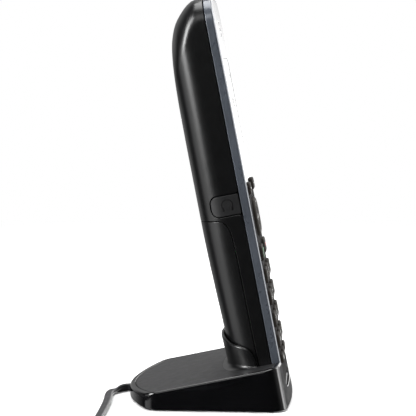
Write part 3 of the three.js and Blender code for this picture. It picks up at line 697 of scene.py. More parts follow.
S = strap_loop()
w, th = 2.1, 0.32
mid = np.array([[COIL[0], y, z] for y, z in S])
nrm = unit(np.column_stack([np.zeros(len(S)), np.roll(S, -1, 0)[:, 1] - np.roll(S, 1, 0)[:, 1], -(np.roll(S, -1, 0)[:, 0] - np.roll(S, 1, 0)[:, 0])]))
V, F = [], []
sec = [(-w, -th + 0.1), (-w, th - 0.1), (-w + 0.12, th), (-0.7, th), (0, th * 1.25), (0.7, th), (w - 0.12, th), (w, th - 0.1), (w, -th + 0.1), (w - 0.12, -th), (-w + 0.12, -th)]
for p, n in zip(mid, nrm):
    V += [p + np.array([a, 0, 0]) + n * b for a, b in sec]
m = len(sec)
for i in range(len(mid)):
    a, b = i * m, ((i + 1) % len(mid)) * m
    F += [(a + k, a + (k + 1) % m, b + (k + 1) % m, b + k) for k in range(m)]
tie = add("lead_tie", V, F, RUBBER, "base", slot="rubber", replaces=["cord_tie"])
tie_buckle = stack("lead_tie_end", [
    (np.column_stack([rr(COIL[0], COIL[1] - 20, 2.3 - i, 3.4 - i, 1.0, 5)[0], np.full(24, h)]), np.column_stack([rr(0, 0, 2.3, 3.4, 1.0, 5)[1] * no, np.full(24, nu)]))
    for i, h, no, nu in ((0.1, 7.0, 1, -0.5), (0, 7.2, 1, 0), (0, 7.65, 1, 0.2), (0.12, 7.78, 0.6, 0.8), (0.3, 7.82, 0, 1))],
    RUBBER, "base", to=same, dirs=same, slot="rubber", crown=0.02)

# mains adapter: two case halves, ribbed bend relief, blades
AX0, AX1, AY0, AY1, AH = -189.0, -151.0, -4 + CY, 44 + CY, 26.0


def slab(name, cx, cy, hx, hy, r, prof, mat, n=10, **kw):
    rings = []
    for i, z, no, nu in prof:
        P, Q = rr(cx, cy, hx - i, hy - i, max(r - 0.6 * i, 0.4), n)
        rings.append((np.column_stack([P, np.full(len(P), z)]), np.column_stack([Q * no, np.full(len(P), nu)])))
    return stack(name, rings, mat, "base", to=same, dirs=same, **kw)


def arc_prof(r, z, up=True, k=6, outer=0.0):
    out = []
    for t in np.linspace(0, math.pi / 2, k + 1):
        if up:
            out.append((outer + r * (1 - math.cos(t)), z - r + r * math.sin(t), math.cos(t), math.sin(t)))
        else:
            out.append((outer + r * (1 - math.sin(t)), z + r * (1 - math.cos(t)), math.sin(t), -math.cos(t)))
    return out


acx, acy = (AX0 + AX1) / 2, (AY0 + AY1) / 2
adapter_low = slab("adapter_lower", acx, acy, 19, 24, 5.2, arc_prof(1.3, 0.0, up=False) + [(0, 12.55, 1, 0), (0.06, 12.72, 0.8, 0.6), (0.22, 12.8, 0.2, 1)], ADAPT, slot="matte", replaces=["adapter_case_lower"])
adapter_up = slab("adapter_upper", acx, acy, 19, 24, 5.2, [(0.22, 13.1, 0.2, -1), (0.06, 13.18, 0.8, -0.6), (0, 13.35, 1, 0)] + arc_prof(5.0, AH - 0.01, k=9), ADAPT, slot="matte", replaces=["adapter_case_upper"])
# near-black band in the groove between the case halves, much darker than the case: painted shade in the groove
adapter_seam_shade = slab("adapter_seam_shade", acx, acy, 18.6, 23.6, 4.8, [(0, 12.7, 1, 0), (0, 13.2, 1, 0)], RECESS_SHADE, slot="matte")


def relief():
    xs, prof = [], []
    x = AX1 - 1.5
    P, Q = [], []
    for k in range(0, 41):
        t = k / 40
        x = AX1 - 1.2 + t * 10.1
        rib = 0.26 * (1 if (k // 3) % 2 == 0 else 0) if 4 < k < 38 else 0.26
        hy, hz = 2.85 - 0.62 * t, 2.05 - 0.5 * t
        P.append((x, hy - 0.26 + rib, hz - 0.2 + rib * 0.8))
    V, F = [], []
    m = 28
    for x, hy, hz in P:
        R, _ = rr(0, 0, hy, hz, min(hz * 0.9, 1.5), 6)
        V += [(x, 20 + CY + a, 3.0 + b) for a, b in R]
    m = len(R)
    for i in range(len(P) - 1):
        a, b = i * m, (i + 1) * m
        F += [(a + k, b + k, b + (k + 1) % m, a + (k + 1) % m)[::-1] for k in range(m)]
    F += [tuple(range(m))[::-1], tuple(range((len(P) - 1) * m, len(P) * m))]
    return V, F


V, F = relief()
strain = crease(add("adapter_bend_relief", V, F, RUBBER, "base", slot="rubber", replaces=["adapter_strain_relief"]), 40)

# ------------------------------------------------------------------ handset form
top_at = pchip([[0, 173.2], [0.7, 173.9], [3.9, 174.2], [5.8, 174.2], [8, 174.1], [11, 172.9], [15, 169.7], [19, 165.2], [21.5, 159.6], [22.6, 154], [23.2, 148], [23.7, 139], [24.3, 125]])
depth_at = pchip([[0, 21.7], [28, 23.1], [74, 24.25], [110, 24.2], [126, 24.1], [180, 24.1]])


def smin(a, b, k):
    h = np.clip(0.5 + 0.5 * (b - a) / k, 0, 1)
    return b + (a - b) * h - k * h * (1 - h)


def hs_inside(off=0.0):
    span = 24.3 - off

    def f(P):
        x, s, d = np.abs(P[:, 0]), P[:, 1], P[:, 2]
        D = depth_at(s)
        dn = np.where(d <= 4.2, d, 4.2 + (d - 4.2) * (span - 4.2) / (D - off - 4.2))
        dd = np.where(dn > 10.5, 10.5 + (dn - 10.5) * 13.8 / (span - 10.5), dn)
        u = np.clip((dd - 10.5) / 13.8, 0, 1)
        w = 24 * np.power(np.maximum(0, 1 - u ** 2.6), 1 / 2.6) * (24 - off) / 24
        t = top_at(np.maximum(dd, 0.7)) - off
        b = np.where(dd < 19, 0, 3 * (np.maximum(dd - 19, 0) / 5.3) ** 2) + off
        rt = smin(0.96 * w, 11 + np.maximum(0, dd - 8) * 0.6 - off, 1.5)
        rb = smin(0.96 * w, 8 + np.maximum(0, dd - 12) * 0.3 - off, 1.5)
        ok = (x < w) & (s < t) & (s > b) & (dn < span)
        ex, et, eb = x - (w - rt), s - (t - rt), s - (b + rb)
        ok &= ~((ex > 0) & (et > 0) & (ex * ex + et * et > rt * rt))
        ex = x - (w - rb)
        ok &= ~((ex > 0) & (eb < 0) & (ex * ex + eb * eb > rb * rb))
        return ok
    return f


CORE = (-8, 14, 8, 150)
HS = Skin(hs_inside(0), CORE, 10, 14.3, 40)
CUP = Skin(hs_inside(-2.0), CORE, 10, 14.3, 44)


def side_x(inside, s, d):
    """Half width at height s and depth d."""
    s, d = np.broadcast_arrays(np.asarray(s, float), np.asarray(d, float))
    O = np.column_stack([np.zeros(s.size), s.ravel(), d.ravel()])
    return bisect(inside, O, np.tile([1.0, 0, 0], (s.size, 1)), 30)


def outline_hs(d, inset=0.0, n=14):
    """Outline of the handset at depth d, counter-clockwise in (x, s)."""
    w = 24 - inset
    t, b = float(top_at(max(d, 0.7))) - inset, inset
    rt, rb = 11 - inset, 8 - inset
    P = []
    for cx, cy, r, a0 in ((w - rb, b + rb, rb, -90), (w - rt, t - rt, rt, 0), (-(w - rt), t - rt, rt, 90), (-(w - rb), b + rb, rb, 180)):
        for k in range(n + 1):
            a = math.radians(a0 + 90 * k / n)
            P.append((cx + r * math.cos(a), cy + r * math.sin(a)))
    return np.array(P)


def dense(P, step=0.6, closed=False):
    P = np.asarray(P, float)
    out = []
    for a, b in zip(P[:-1], P[1:]):
        n = max(1, int(np.linalg.norm(b - a) / step))
        out += [a + (b - a) * k / n for k in range(n)]
    out.append(P[-1])
    return np.array(out)


def curve_side(ds, inside, skin, sign=-1):
    """A curve given from the side as (d, s), laid on one flank, in the skin's domain."""
    ds = dense(ds)
    x = side_x(inside, ds[:, 1], ds[:, 0]) * sign
    return skin.inv(np.column_stack([x, ds[:, 1], ds[:, 0]]))


def door_loop(g):
    """Battery door outline, g larger than nominal."""
    ds = np.array([[9.8 - g, 4 - g], [9.95 - g, 40], [10.1 - g, 60], [10.3 - g, 66], [10.5 - g, 70], [10.9 - g, 73], [11.7 - g, 75.2 + g], [13.2 - g, 76.9 + g], [15.5, 77.7 + g], [18, 77.95 + g], [20.5, 78.05 + g]])
    sm = dense(ds, 0.5)
    for _ in range(6):
        sm[1:-1] = 0.25 * sm[:-2] + 0.5 * sm[1:-1] + 0.25 * sm[2:]
    L = curve_side(sm, HS.inside, HS, -1)
    Rr = L[::-1] * [-1, 1]
    xs = np.linspace(L[-1, 0], Rr[0, 0], 60)[1:-1]
    top = np.column_stack([xs, np.full(len(xs), L[-1, 1])])
    # foot: the plane s = 4 - g
    s0 = 4 - g
    ph = np.linspace(0.0, math.pi, 80)
    O = np.tile([0.0, s0, 10.0], (80, 1))
    D = np.column_stack([np.cos(ph), np.zeros(80), np.sin(ph)])
    Q = O + D * bisect(HS.inside, O, D, 40)[:, None]
    Q = Q[Q[:, 2] > 9.9]
    foot = HS.inv(Q)                                            # from +x round the back to -x
    return np.vstack([L, top, Rr, foot])


def flap_ds(g):
    return np.array([-1.9, 0]) + np.array([[16.2, 79.2 - g], [17.5 + g * .5, 79.5 - g], [18.3 + g, 80.1 - g * .7], [18.9 + g, 81.0], [19.2 + g, 82.2], [19.2 + g, 85.3], [18.9 + g, 86.5], [18.3 + g, 87.4 + g * .7], [17.5 + g * .5, 88.0 + g], [16.2, 88.3 + g]])


def rear_outer():
    P = outline_hs(4.2, 0.0, 16)
    P = resample(P, 0.8)
    Q = np.column_stack([P, np.full(len(P), 4.2)])
    U = HS.inv(Q)
    # step round the socket flap on the -X flank
    flank = (P[:, 0] < -23.9)
    keep = ~(flank & (P[:, 1] > 78.4) & (P[:, 1] < 89.1))
    idx = np.where(~keep)[0]
    g = 0.3
    d = np.vstack([[[4.2, 79.2 - g]], flap_ds(g), [[4.2, 88.3 + g]]])
    F = curve_side(d, HS.inside, HS, -1)
    a, b = idx[0], idx[-1]
    if P[a, 1] > P[b, 1]:
        F = F[::-1]
    return np.vstack([U[:a], F, U[b + 1:]])


plate_out = rr(0, 109, 11, 15, 1.6, 6)[0]


def flank_rect(x0, s0, s1, g, r=1.6):
    P, _ = rr(0, (s0 + s1) / 2, x0 + g, (s1 - s0) / 2 + g, r, 6)
    P = resample(P, 0.7)
    O = np.column_stack([P, np.full(len(P), 12.0)])
    D = np.tile([0, 0, 1.0], (len(P), 1))
    Q = O + D * bisect(HS.inside, O, D, 30)[:, None]
    return HS.inv(Q)


rear = patch("rear_shell", HS, [rear_outer(), door_loop(0.14), flank_rect(11, 94, 124, 0.14)], 1.5, SHELL, "handset", r=0.22, slot="shell", replaces=["rear_housing"])
door = patch("battery_cover", HS, [door_loop(-0.12)], 1.45, DOOR, "handset", r=0.22, slot="shell", replaces=["battery_door"])


def on_back(P):
    O = np.column_stack([P, np.full(len(P), 12.0)])
    D = np.tile([0, 0, 1.0], (len(P), 1))
    return HS.inv(O + D * bisect(HS.inside, O, D, 30)[:, None])


slots = [on_back(resample(rr(0, s, 6, 0.75, 0.74, 5)[0], 0.3)) for s in (100, 104.5, 109, 113.5, 118)]
patch("speaker_plate", HS, [flank_rect(11, 94, 124, -0.12)] + slots, 1.2, SHELL, "handset", r=0.18, step=1.0, bstep=0.35, passes=1, slot="shell", replaces=["rear_speaker_plate"])

flap_loop = curve_side(np.vstack([[[4.35, 79.2]], flap_ds(0), [[4.35, 88.3]], [[4.35, 79.2]]])[:-1], HS.inside, HS, -1)
flap = patch("socket_flap", HS, [curve_side(np.vstack([[[4.4, 79.3]], flap_ds(-0.08), [[4.4, 88.2]], [[4.4, 79.5]]]), HS.inside, HS, -1)], 1.25, FLAP, "jack_cover", r=0.28, step=0.9, bstep=0.45, slot="rubber", replaces=["headset_jack_cover"])

# near-black sheet behind the flap's gap: painted shade, so that the gap reads as a dark recess
HS_IN = Skin(hs_inside(1.75), CORE, 10, 14.3, 40)
patch("flap_gap_shade_sheet", HS_IN, [curve_side(np.vstack([[[4.6, 78.6]], flap_ds(0.8)[1:-1], [[4.6, 88.9]], [[4.6, 79.5]]]), HS_IN.inside, HS_IN, -1)], 0.25, RECESS_SHADE, "handset", r=0.1, step=1.2, bstep=0.6, slot="shell")

# moulded headset mark on the flap: band with two ear pads; its near-black, low-gloss colour is painted shade that makes
# it read as engraved
def flap_mark():
    V, F = [], []
    def strip(path, w):
        path = np.asarray(path, float)
        t = unit(np.gradient(path, axis=0))
        nrm = np.column_stack([-t[:, 1], t[:, 0]])
        base = sum(len(v) for v in V)
        rows = []
        for o, h in ((-w, -0.1), (-w, 0.05), (-w * .6, 0.09), (w * .6, 0.09), (w, 0.05), (w, -0.1)):
            q = path + nrm * o
            x = -side_x(HS.inside, q[:, 1], q[:, 0])
            U = HS.inv(np.column_stack([x, q[:, 1], q[:, 0]]))
            rows.append(HS.point(U) + HS.normal(U) * h)
        m = len(path)
        for R in rows:
            V.append(R)
        for k in range(len(rows)):
            a, b = base + k * m, base + ((k + 1) % len(rows)) * m
            for i in range(m - 1):
                F.append((a + i, a + i + 1, b + i + 1, b + i))
        F.append(tuple(base + k * m for k in range(len(rows))))
        F.append(tuple(base + k * m + m - 1 for k in range(len(rows)))[::-1])
    c, r = (10.1, 84.1), 2.4
    band = [(c[0] + r * math.cos(math.radians(a)), c[1] + r * math.sin(math.radians(a))) for a in range(-35, 216, 10)]
    strip(band, 0.3)
    for sgn in (-1, 1):
        strip([(c[0] + sgn * 1.95, c[1] - 2.5 + 0.28 * k) for k in range(7)], 0.48)
    return np.vstack(V), F


V, F = flap_mark()
add("flap_mark", hs_world(V), F, RECESS_SHADE, "jack_cover", slot="rubber")

# ------------------------------------------------------------------ front bezel
KEYROWS = []
for s, row, hw, hh, r in ((88.8, (("softkey_left", -14.6), ("softkey_right", 14.6)), 5.6, 2.6, 1.6),
                          (60, (("talk_key", -13.6), ("off_key", 13.6)), 6.6, 3.3, 2.2),
                          (49.8, (("key_1", -14), ("key_2", 0), ("key_3", 14)), 5.8, 3.3, 1.8),
                          (39.8, (("key_4", -14), ("key_5", 0), ("key_6", 14)), 5.8, 3.3, 1.8),
                          (29.8, (("key_7", -14), ("key_8", 0), ("key_9", 14)), 5.8, 3.3, 1.8),
                          (20.2, (("key_star", -14), ("key_0", 0), ("key_hash", 14)), 5.8, 3.1, 1.8),
                          (12, (("function_key_left", -13.2), ("function_key_centre", 0), ("function_key_right", 13.2)), 5.2, 2.0, 1.6)):
    for n, x in row:
        KEYROWS.append((n, x, s, hw, hh, r))
NAV = (74.8, 13, 8.3, 7.4, 4.7)

holes = [rr(x, s, hw + 0.24, hh + 0.24, r + 0.24, 5)[0] for _, x, s, hw, hh, r in KEYROWS]
holes.append(rr(0, NAV[0], NAV[1] + 0.24, NAV[2] + 0.24, NAV[3] + 0.24, 8)[0])
holes.append(rr(0, 124, 19, 23, 4, 7)[0])
holes += [rr(0, 157.6, 6.2, 0.7, 0.66, 5)[0], rr(0, 160.2, 6.2, 0.7, 0.66, 5)[0], rr(0, 162.8, 4.6, 0.7, 0.66, 5)[0], rr(0, 5.3, 0.7, 0.7, 0.69, 5)[0]]
c45 = math.sqrt(0.5)
edge = [(0.08, 0.006, 0.12, 0.99), (0.20, 0.04, 0.3, 0.95), (0.32, 0.11, 0.519, 0.855), (0.84, 0.43, 0.519, 0.855), (0.93, 0.54, 0.75, 0.66), (0.97, 0.70, 0.97, 0.2),
        (0.99, 1.1, 1, 0), (1.0, 2.4, 1, 0), (1.0, 3.55, 1, 0), (0.97, 3.72, 0.9, -0.4), (0.86, 3.86, 0.4, -0.9), (0.7, 3.9, 0, -1), (-0.7, 3.9, 0, -1), (-0.7, 1.8, -1, 0)]
bez = patch("front_bezel", Flat(0.0), [outline_hs(0.7, 0.0, 14)] + holes, 1.8, BEZEL, "handset", to=face_world, dirs=face_dir, flip=False,
            r=0.16, step=2.2, bstep=0.5, passes=1, profiles={0: (1.0, edge)}, lines=[np.column_stack([np.arange(-22.8, 22.9, 0.8), np.full(58, 89.5)])], slot="bezel", replaces=["front_housing"])
bez.data.materials.append(FACE)
bez.data.materials.append(PAD)
# the flat keypad face is polished, the rim round it is slate paint
me = bez.data
cen = np.zeros(len(me.polygons) * 3)
me.polygons.foreach_get("center", cen)
loc = world_hs(cen.reshape(-1, 3) * 1000)
me.polygons.foreach_set("material_index", [(1 if q[1] > 89.5 else 2) if (q[2] < 0.1 and abs(q[0]) < 23.2) else 0 for q in loc])

# display
patch("display_border", Flat(-0.1), [rr(0, 124, 18.9, 22.9, 3.9, 7)[0], rr(0, 124.2, 15.4, 18.2, 1.2, 4)[0]], 0.9, LENS, "handset", to=face_world, dirs=face_dir, flip=False,
      r=0.2, step=2.5, bstep=0.6, passes=1, slot="lens", replaces=["display_lens"], profiles={1: (0.03, round_edge(0.03, 0.9, 2))})
patch("display_window", Flat(-0.13), [rr(0, 124.2, 15.37, 18.17, 1.17, 4)[0]], 0.6, LCD, "handset", to=face_world, dirs=face_dir, flip=False, r=0.03, step=3, bstep=0.7, passes=1, slot="lcd")


def text_mesh(name, body_text, size, x, s, h, mat, body, depth=0.05, slot=None, offset=0.0):
    cu = bpy.data.curves.new(name + "_curve", "FONT")
    cu.body, cu.size, cu.align_x, cu.align_y = body_text, size, "CENTER", "CENTER"
    cu.extrude, cu.offset, cu.resolution_u = depth / 2, offset, 4
    tmp = bpy.data.objects.new(name + "_tmp", cu)
    scene.collection.objects.link(tmp)
    bpy.context.view_layer.update()
    me = bpy.data.meshes.new_from_object(tmp.evaluated_get(bpy.context.evaluated_depsgraph_get()))
    V = np.array([tuple(v.co) for v in me.vertices], float)
    F = [tuple(p.vertices) for p in me.polygons]
    bpy.data.objects.remove(tmp)
    bpy.data.curves.remove(cu)
    bpy.data.meshes.remove(me)
    V = np.column_stack([V[:, 0] + x, V[:, 1] + s, V[:, 2] + h])
    return add(name, face_world(V), F, mat, body, slot=slot, smooth=False)


text_mesh("display_clock", "12:00", 8.2, 0, 126.5, -0.12, SEGMENT, "handset", slot="lcd")
text_mesh("display_soft", "---        ---", 3.0, 0, 110.4, -0.12, SEGMENT, "handset", slot="lcd")


def bars(name, quads, h, mat, body, depth=0.05, slot=None):
    """Thin flat marks on the face: each is a closed outline in (x, s)."""
    V, F = [], []
    for q in quads:
        q = np.asarray(q, float)
        n, b = len(q), len(V)
        V += [(a, c, h) for a, c in q] + [(a, c, h - depth) for a, c in q]
        F.append(tuple(range(b, b + n)))
        F.append(tuple(range(b + n, b + 2 * n))[::-1])
        F += [(b + i, b + n + i, b + n + (i + 1) % n, b + (i + 1) % n) for i in range(n)]
    return add(name, face_world(np.array(V)), F, mat, body, slot=slot, smooth=False)


def box2(x0, x1, s0, s1):
    return [(x0, s0), (x1, s0), (x1, s1), (x0, s1)]


bars("display_marks", [box2(-13.4 + 1.5 * k, -12.4 + 1.5 * k, 137.6, 138.4 + 0.7 * k) for k in range(4)]
     + [box2(8.2, 12.8, 137.6, 138.0), box2(8.2, 12.8, 139.9, 140.3), box2(8.2, 8.6, 138.0, 139.9), box2(12.4, 12.8, 138.0, 139.9), box2(12.8, 13.4, 138.5, 139.4), box2(9.0, 10.1, 138.4, 139.5), box2(10.5, 11.6, 138.4, 139.5)]
     + [box2(-13, 13, 113.0, 113.25)], -0.095, SEGMENT, "handset", slot="lcd")

# dust film behind the earpiece slots
for k, (s0, hw) in enumerate(((157.6, 6.2), (160.2, 6.2), (162.8, 4.6))):
    P, Q = rr(0, s0, hw + 0.02, 0.72, 0.68, 6)
    stack(f"earpiece_film_{k + 1}", [(np.column_stack([P, np.full(len(P), h)]), np.column_stack([Q * no, np.full(len(P), nu)])) for h, no, nu in ((-0.7, 1, 0), (-0.14, 1, 0), (-0.1, 0, 1))],
          FACE, "handset", crown=0.02, slot="gloss")

# ------------------------------------------------------------------ keys
PR = 1.25
KEYPROF = [(0.0, -1.9, 1, 0), (0.0, PR - 0.62, 1, 0), (0.045, PR - 0.42, 0.93, 0.36), (0.15, PR - 0.25, 0.75, 0.66), (0.32, PR - 0.12, 0.5, 0.87), (0.62, PR - 0.03, 0.2, 0.98), (1.0, PR, 0.05, 1)]


def handset_mark(x, s, sc, down=False):
    """Little receiver outline for the call keys."""
    P = []
    for a in np.linspace(160, 20, 9):
        P.append((2.1 * math.cos(math.radians(a)), 0.75 * math.sin(math.radians(a)) + 0.05))
    P += [(2.25, -0.35), (1.35, -0.45), (1.25, 0.0)]
    for a in np.linspace(30, 150, 7):
        P.append((1.3 * math.cos(math.radians(a)), 0.35 * math.sin(math.radians(a)) - 0.1))
    P += [(-1.25, 0.0), (-1.35, -0.45), (-2.25, -0.35)]
    P = np.array(P) * sc
    ang = math.radians(0 if down else 38)
    R = np.array([[math.cos(ang), -math.sin(ang)], [math.sin(ang), math.cos(ang)]])
    P = P @ R.T + [x, s]
    return P[::-1]


LABEL = {"key_star": "*", "key_0": "0", "key_hash": "#", **{f"key_{k}": str(k) for k in range(1, 10)}}
for name, x, s, hw, hh, r in KEYROWS:
    mat = KEYS
    slot = "talk" if name == "talk_key" else "keys"
    cap = stack(name + "_cap", cap_rings(x, s, hw, hh, r, KEYPROF, 7), mat, name, crown=0.05, slot=slot, replaces=[name])
    if name in LABEL:
        if name == "key_5":
            text_mesh(name + "_print", "5", 3.3, x - 1.9, s, PR + 0.035, LEGEND, name, slot="keys", offset=0.02)
            nib = [(np.column_stack([0.62 * math.cos(t) * np.array([math.cos(math.radians(a)) for a in range(0, 360, 20)]) + x,
                                     0.62 * math.cos(t) * np.array([math.sin(math.radians(a)) for a in range(0, 360, 20)]) + s,
                                     np.full(18, PR - 0.1 + 0.62 * math.sin(t))]),
                    np.column_stack([[math.cos(math.radians(a)) * math.cos(t) for a in range(0, 360, 20)], [math.sin(math.radians(a)) * math.cos(t) for a in range(0, 360, 20)], np.full(18, math.sin(t))]))
                   for t in (0, 0.35, 0.7, 1.05, 1.3)]
            stack("key_5_nib", nib, KEYS, name, crown=0.01, slot="keys")
        else:
            text_mesh(name + "_print", LABEL[name], 3.9 if name != "key_star" else 5.0, x, s - (0.7 if name == "key_star" else 0), PR + 0.045, LEGEND, name, slot="keys", offset=0.02)
    if name in ("talk_key", "off_key"):
        bars(name + "_mark", [handset_mark(x, s, 1.25, down=name == "off_key")], PR + 0.075, TALK if name == "talk_key" else OFF, name, slot=slot)
    if name.startswith("softkey"):
        bars(name + "_mark", [box2(x - 1.5, x + 1.5, s - 0.22, s + 0.22)], PR + 0.075, LEGEND, name, slot="keys")
    if name == "function_key_left":
        bars(name + "_mark", [[(x - 1.3, s - 0.7), (x + 0.3, s - 0.7), (x + 0.3, s + 0.7), (x - 1.3, s + 0.7)][:4], [(x + 0.6, s - .9), (x + 1.3, s - .9), (x + 1.3, s + .9), (x + .6, s + .9)]], PR + 0.075, LEGEND, name, slot="keys")
    if name == "function_key_centre":
        bars(name + "_mark", [[(x + 0.85 * math.cos(t), s + 0.85 * math.sin(t)) for t in np.linspace(0, 2 * math.pi, 17)[:-1]]], PR + 0.075, LEGEND, name, slot="keys")
    if name == "function_key_right":
        bars(name + "_mark", [[(x - 1.0, s - 0.9), (x + 0.2, s - 0.9), (x + 0.2, s + 0.9), (x - 1.0, s + 0.5)], [(x + 0.6, s - 0.5), (x + 1.0, s - 0.5), (x + 1.0, s + 0.5), (x + 0.6, s + 0.5)]], PR + 0.075, LEGEND, name, slot="keys")


def nav_ring():
    n = 16
    P, Q = rr(0, 0, NAV[1], NAV[2], NAV[3], n)
    m = len(P)
    ang = np.unwrap(np.arctan2(P[:, 1], P[:, 0]))
    C, CN = np.column_stack([np.cos(ang), np.sin(ang)]), np.column_stack([np.cos(ang), np.sin(ang)])
    rings = []
    for i, h, no, nu in [(0, -1.9, 1, 0), (0, 0.35, 1, 0), (0.08, 0.7, 0.9, 0.4), (0.35, 1.0, 0.7, 0.7), (0.8, 1.22, 0.35, 0.93), (1.5, 1.32, 0.08, 1)]:
        A, B = rr(0, 0, NAV[1] - i, NAV[2] - i, NAV[3] - i, n)
        rings.append((A, h, B * no, nu))
    rin = NAV[4]
    A = rings[-1][0]
    for f, h in ((0.33, 1.30), (0.66, 1.2)):
        rings.append((A * (1 - f) + C * (rin + 0.35) * f, h, C * 0.03, 1))
    for ri, h, no, nu in ((rin + 0.35, 1.1, -0.2, 1), (rin + 0.12, 1.03, -0.7, 0.7), (rin, 0.85, -1, 0.1), (rin, -1.9, -1, 0)):
        rings.append((C * ri, h, CN * no, nu))
    V = np.vstack([np.column_stack([a, np.full(m, h)]) for a, h, _, _ in rings]) + [0, NAV[0], 0]
    N = np.vstack([np.column_stack([b, np.full(m, u)]) for _, _, b, u in rings])
    F = []
    k = len(rings)
    for j in range(k):
        a, b = j * m, ((j + 1) % k) * m
        F += [(a + i, a + (i + 1) % m, b + (i + 1) % m, b + i) for i in range(m)]
    return add("navigator_ring", face_world(V), F, KEYS, "nav_key", slot="keys", replaces=["nav_key"], N=face_dir(N))


nav_ring()
bars("navigator_marks", [[(x0 + dx * 0.9 - dy * 0.0, NAV[0] + y0 + dy * 0.9), (x0 - dy * 0.9, NAV[0] + y0 + dx * 0.9), (x0 + dy * 0.9, NAV[0] + y0 - dx * 0.9)][::1]
                         for x0, y0, dx, dy in ((9.6, 0, 1, 0), (-9.6, 0, -1, 0), (0, 6.3, 0, 1), (0, -6.3, 0, -1))], 1.345, LEGEND, "nav_key", slot="keys")
sel = []
for i, h, no, nu in [(0, -1.9, 1, 0), (0, 0.45, 1, 0), (0.05, 0.7, 0.9, 0.4), (0.2, 0.88, 0.6, 0.8), (0.5, 1.0, 0.3, 0.95), (1.2, 1.08, 0.1, 1)]:
    P, Q = rr(0, NAV[0], 4.4 - i, 4.4 - i, 4.39 - i, 9)
    sel.append((np.column_stack([P, np.full(len(P), h)]), np.column_stack([Q * no, np.full(len(P), nu)])))
stack("select_cap", sel, KEYS, "select_key", crown=0.04, slot="keys", replaces=["select_key"])
bars("select_mark", [[(1.0 * math.cos(t), NAV[0] + 1.0 * math.sin(t)) for t in np.linspace(0, 2 * math.pi, 21)[:-1]]], 1.15, LEGEND, "select_key", slot="keys")

# ------------------------------------------------------------------ cradle form
def base_sdf(P, z=None):
    """Distance inside the cradle's outline, negative inside; the front leans back with height."""
    x, y = np.abs(P[:, 0]), P[:, 1] - CY
    z = P[:, 2] if z is None else z
    yy = y
    for _ in range(3):
        w = np.clip((-16 - yy) / 14, 0, 1)
        w = w * w * (3 - 2 * w)
        yy = y - w * 0.19 * z
    front = -(yy + 36.5 - 0.00195 * x * x) / np.sqrt(1 + (0.0039 * x) ** 2)
    rear = (yy - (37.5 - 0.0083 * x * x)) / np.sqrt(1 + (0.0166 * x) ** 2)
    side = x - 37.5

    def rmax(a, b, r):
        u, v = np.maximum(a + r, 0), np.maximum(b + r, 0)
        return np.minimum(np.maximum(a, b), -r) + np.sqrt(u * u + v * v)
    a = rmax(front, side, 6.2)
    return rmax(a, rear, 3.2)


def base_inside(P):
    a = base_sdf(P)
    z = P[:, 2]
    t = (z - top_z(P[:, 1])) * 0.978
    r1, r2 = 0.95, 0.8
    ok = (a < 0) & (t < 0) & (z > 0.25)
    ok &= ~((a > -r1) & (t > -r1) & ((a + r1) ** 2 + (t + r1) ** 2 > r1 * r1))
    b = 0.25 - z
    ok &= ~((a > -r2) & (b > -r2) & ((a + r2) ** 2 + (b + r2) ** 2 > r2 * r2))
    return ok


BASE = Skin(base_inside, (-28, -26 + CY, 28, 24 + CY), 2.5, 10.0, 60)


def plane_ring(test, n=400, zf=top_z, c=(0.0, 0.0), a0=0.0, a1=2 * math.pi):
    """Curve where test changes, in the surface z = zf(y), round the point c."""
    ph = np.linspace(a0, a1, n, endpoint=False)
    lo, hi = np.zeros(n), np.full(n, 90.0)
    for _ in range(40):
        m = (lo + hi) / 2
        x, y = c[0] + m * np.cos(ph), c[1] + m * np.sin(ph)
        ok = test(np.column_stack([x, y, zf(y)]))
        lo, hi = np.where(ok, m, lo), np.where(ok, hi, m)
    x, y = c[0] + lo * np.cos(ph), c[1] + lo * np.sin(ph)
    return np.column_stack([x, y, zf(y)])


NOTCH = 24.5
tray = plane_ring(lambda P: base_sdf(P) < -2.3, 720)
tray = np.roll(tray, -int(np.argmin(tray[:, 1] + np.abs(tray[:, 0]) * 0.001)), 0)       # starts at front centre, counter-clockwise
keep = ~((np.abs(tray[:, 0]) < NOTCH) & (tray[:, 1] < -20))
tray_c = tray[keep]                                                       # right front corner round the back to the left front corner
if tray_c[0, 0] < 0:
    tray_c = tray_c[::-1]


def notch_curve():
    """Where the handset's outline, pushed forward, leaves the front wall: from the right rim down and up to the left."""
    w, b, r = NOTCH, -0.5, 8.5
    P = [(w, s) for s in np.arange(16, b + r, -0.4)]
    P += [(w - r + r * math.cos(math.radians(a)), b + r + r * math.sin(math.radians(a))) for a in range(0, -91, -5)]
    P = np.array(P)
    P = np.vstack([P, P[::-1][1:] * [-1, 1]])
    O = np.column_stack([P, np.full(len(P), 2.2)])                    # (x, s, d)
    Ow = hs_world(O)
    Dw = np.tile(hs_dir([[0, 0, -1]]), (len(P), 1))
    ok0 = base_inside(Ow)
    t = bisect(base_inside, Ow, Dw, 20)
    Q = Ow + Dw * t[:, None]
    return Q[ok0 & (Q[:, 2] < top_z(Q[:, 1]) - 0.9)]


nc = notch_curve()
# across the top of the front wall, from the tray to the notch, on each side
fr = tray_c[0]
y_out = nc[0, 1]
cross_r = np.array([[NOTCH, y, top_z(y)] for y in np.linspace(fr[1], y_out + 0.5, 8)])
cross_l = cross_r[::-1] * [-1, 1, 1]


def order_loop(parts):
    """Chains pieces end to end, turning each to meet the one before."""
    out = parts[0]
    for p in parts[1:]:
        if np.linalg.norm(p[0] - out[-1]) > np.linalg.norm(p[-1] - out[-1]):
            p = p[::-1]
        out = np.vstack([out, p])
    return out


cross_l = cross_r * [-1, 1, 1]
inner3 = order_loop([tray_c, cross_l, nc, cross_r])
foot3 = plane_ring(lambda P: base_sdf(P, np.full(len(P), 0.4)) < -0.62, 500, zf=lambda y: np.full(np.shape(y), 0.3))


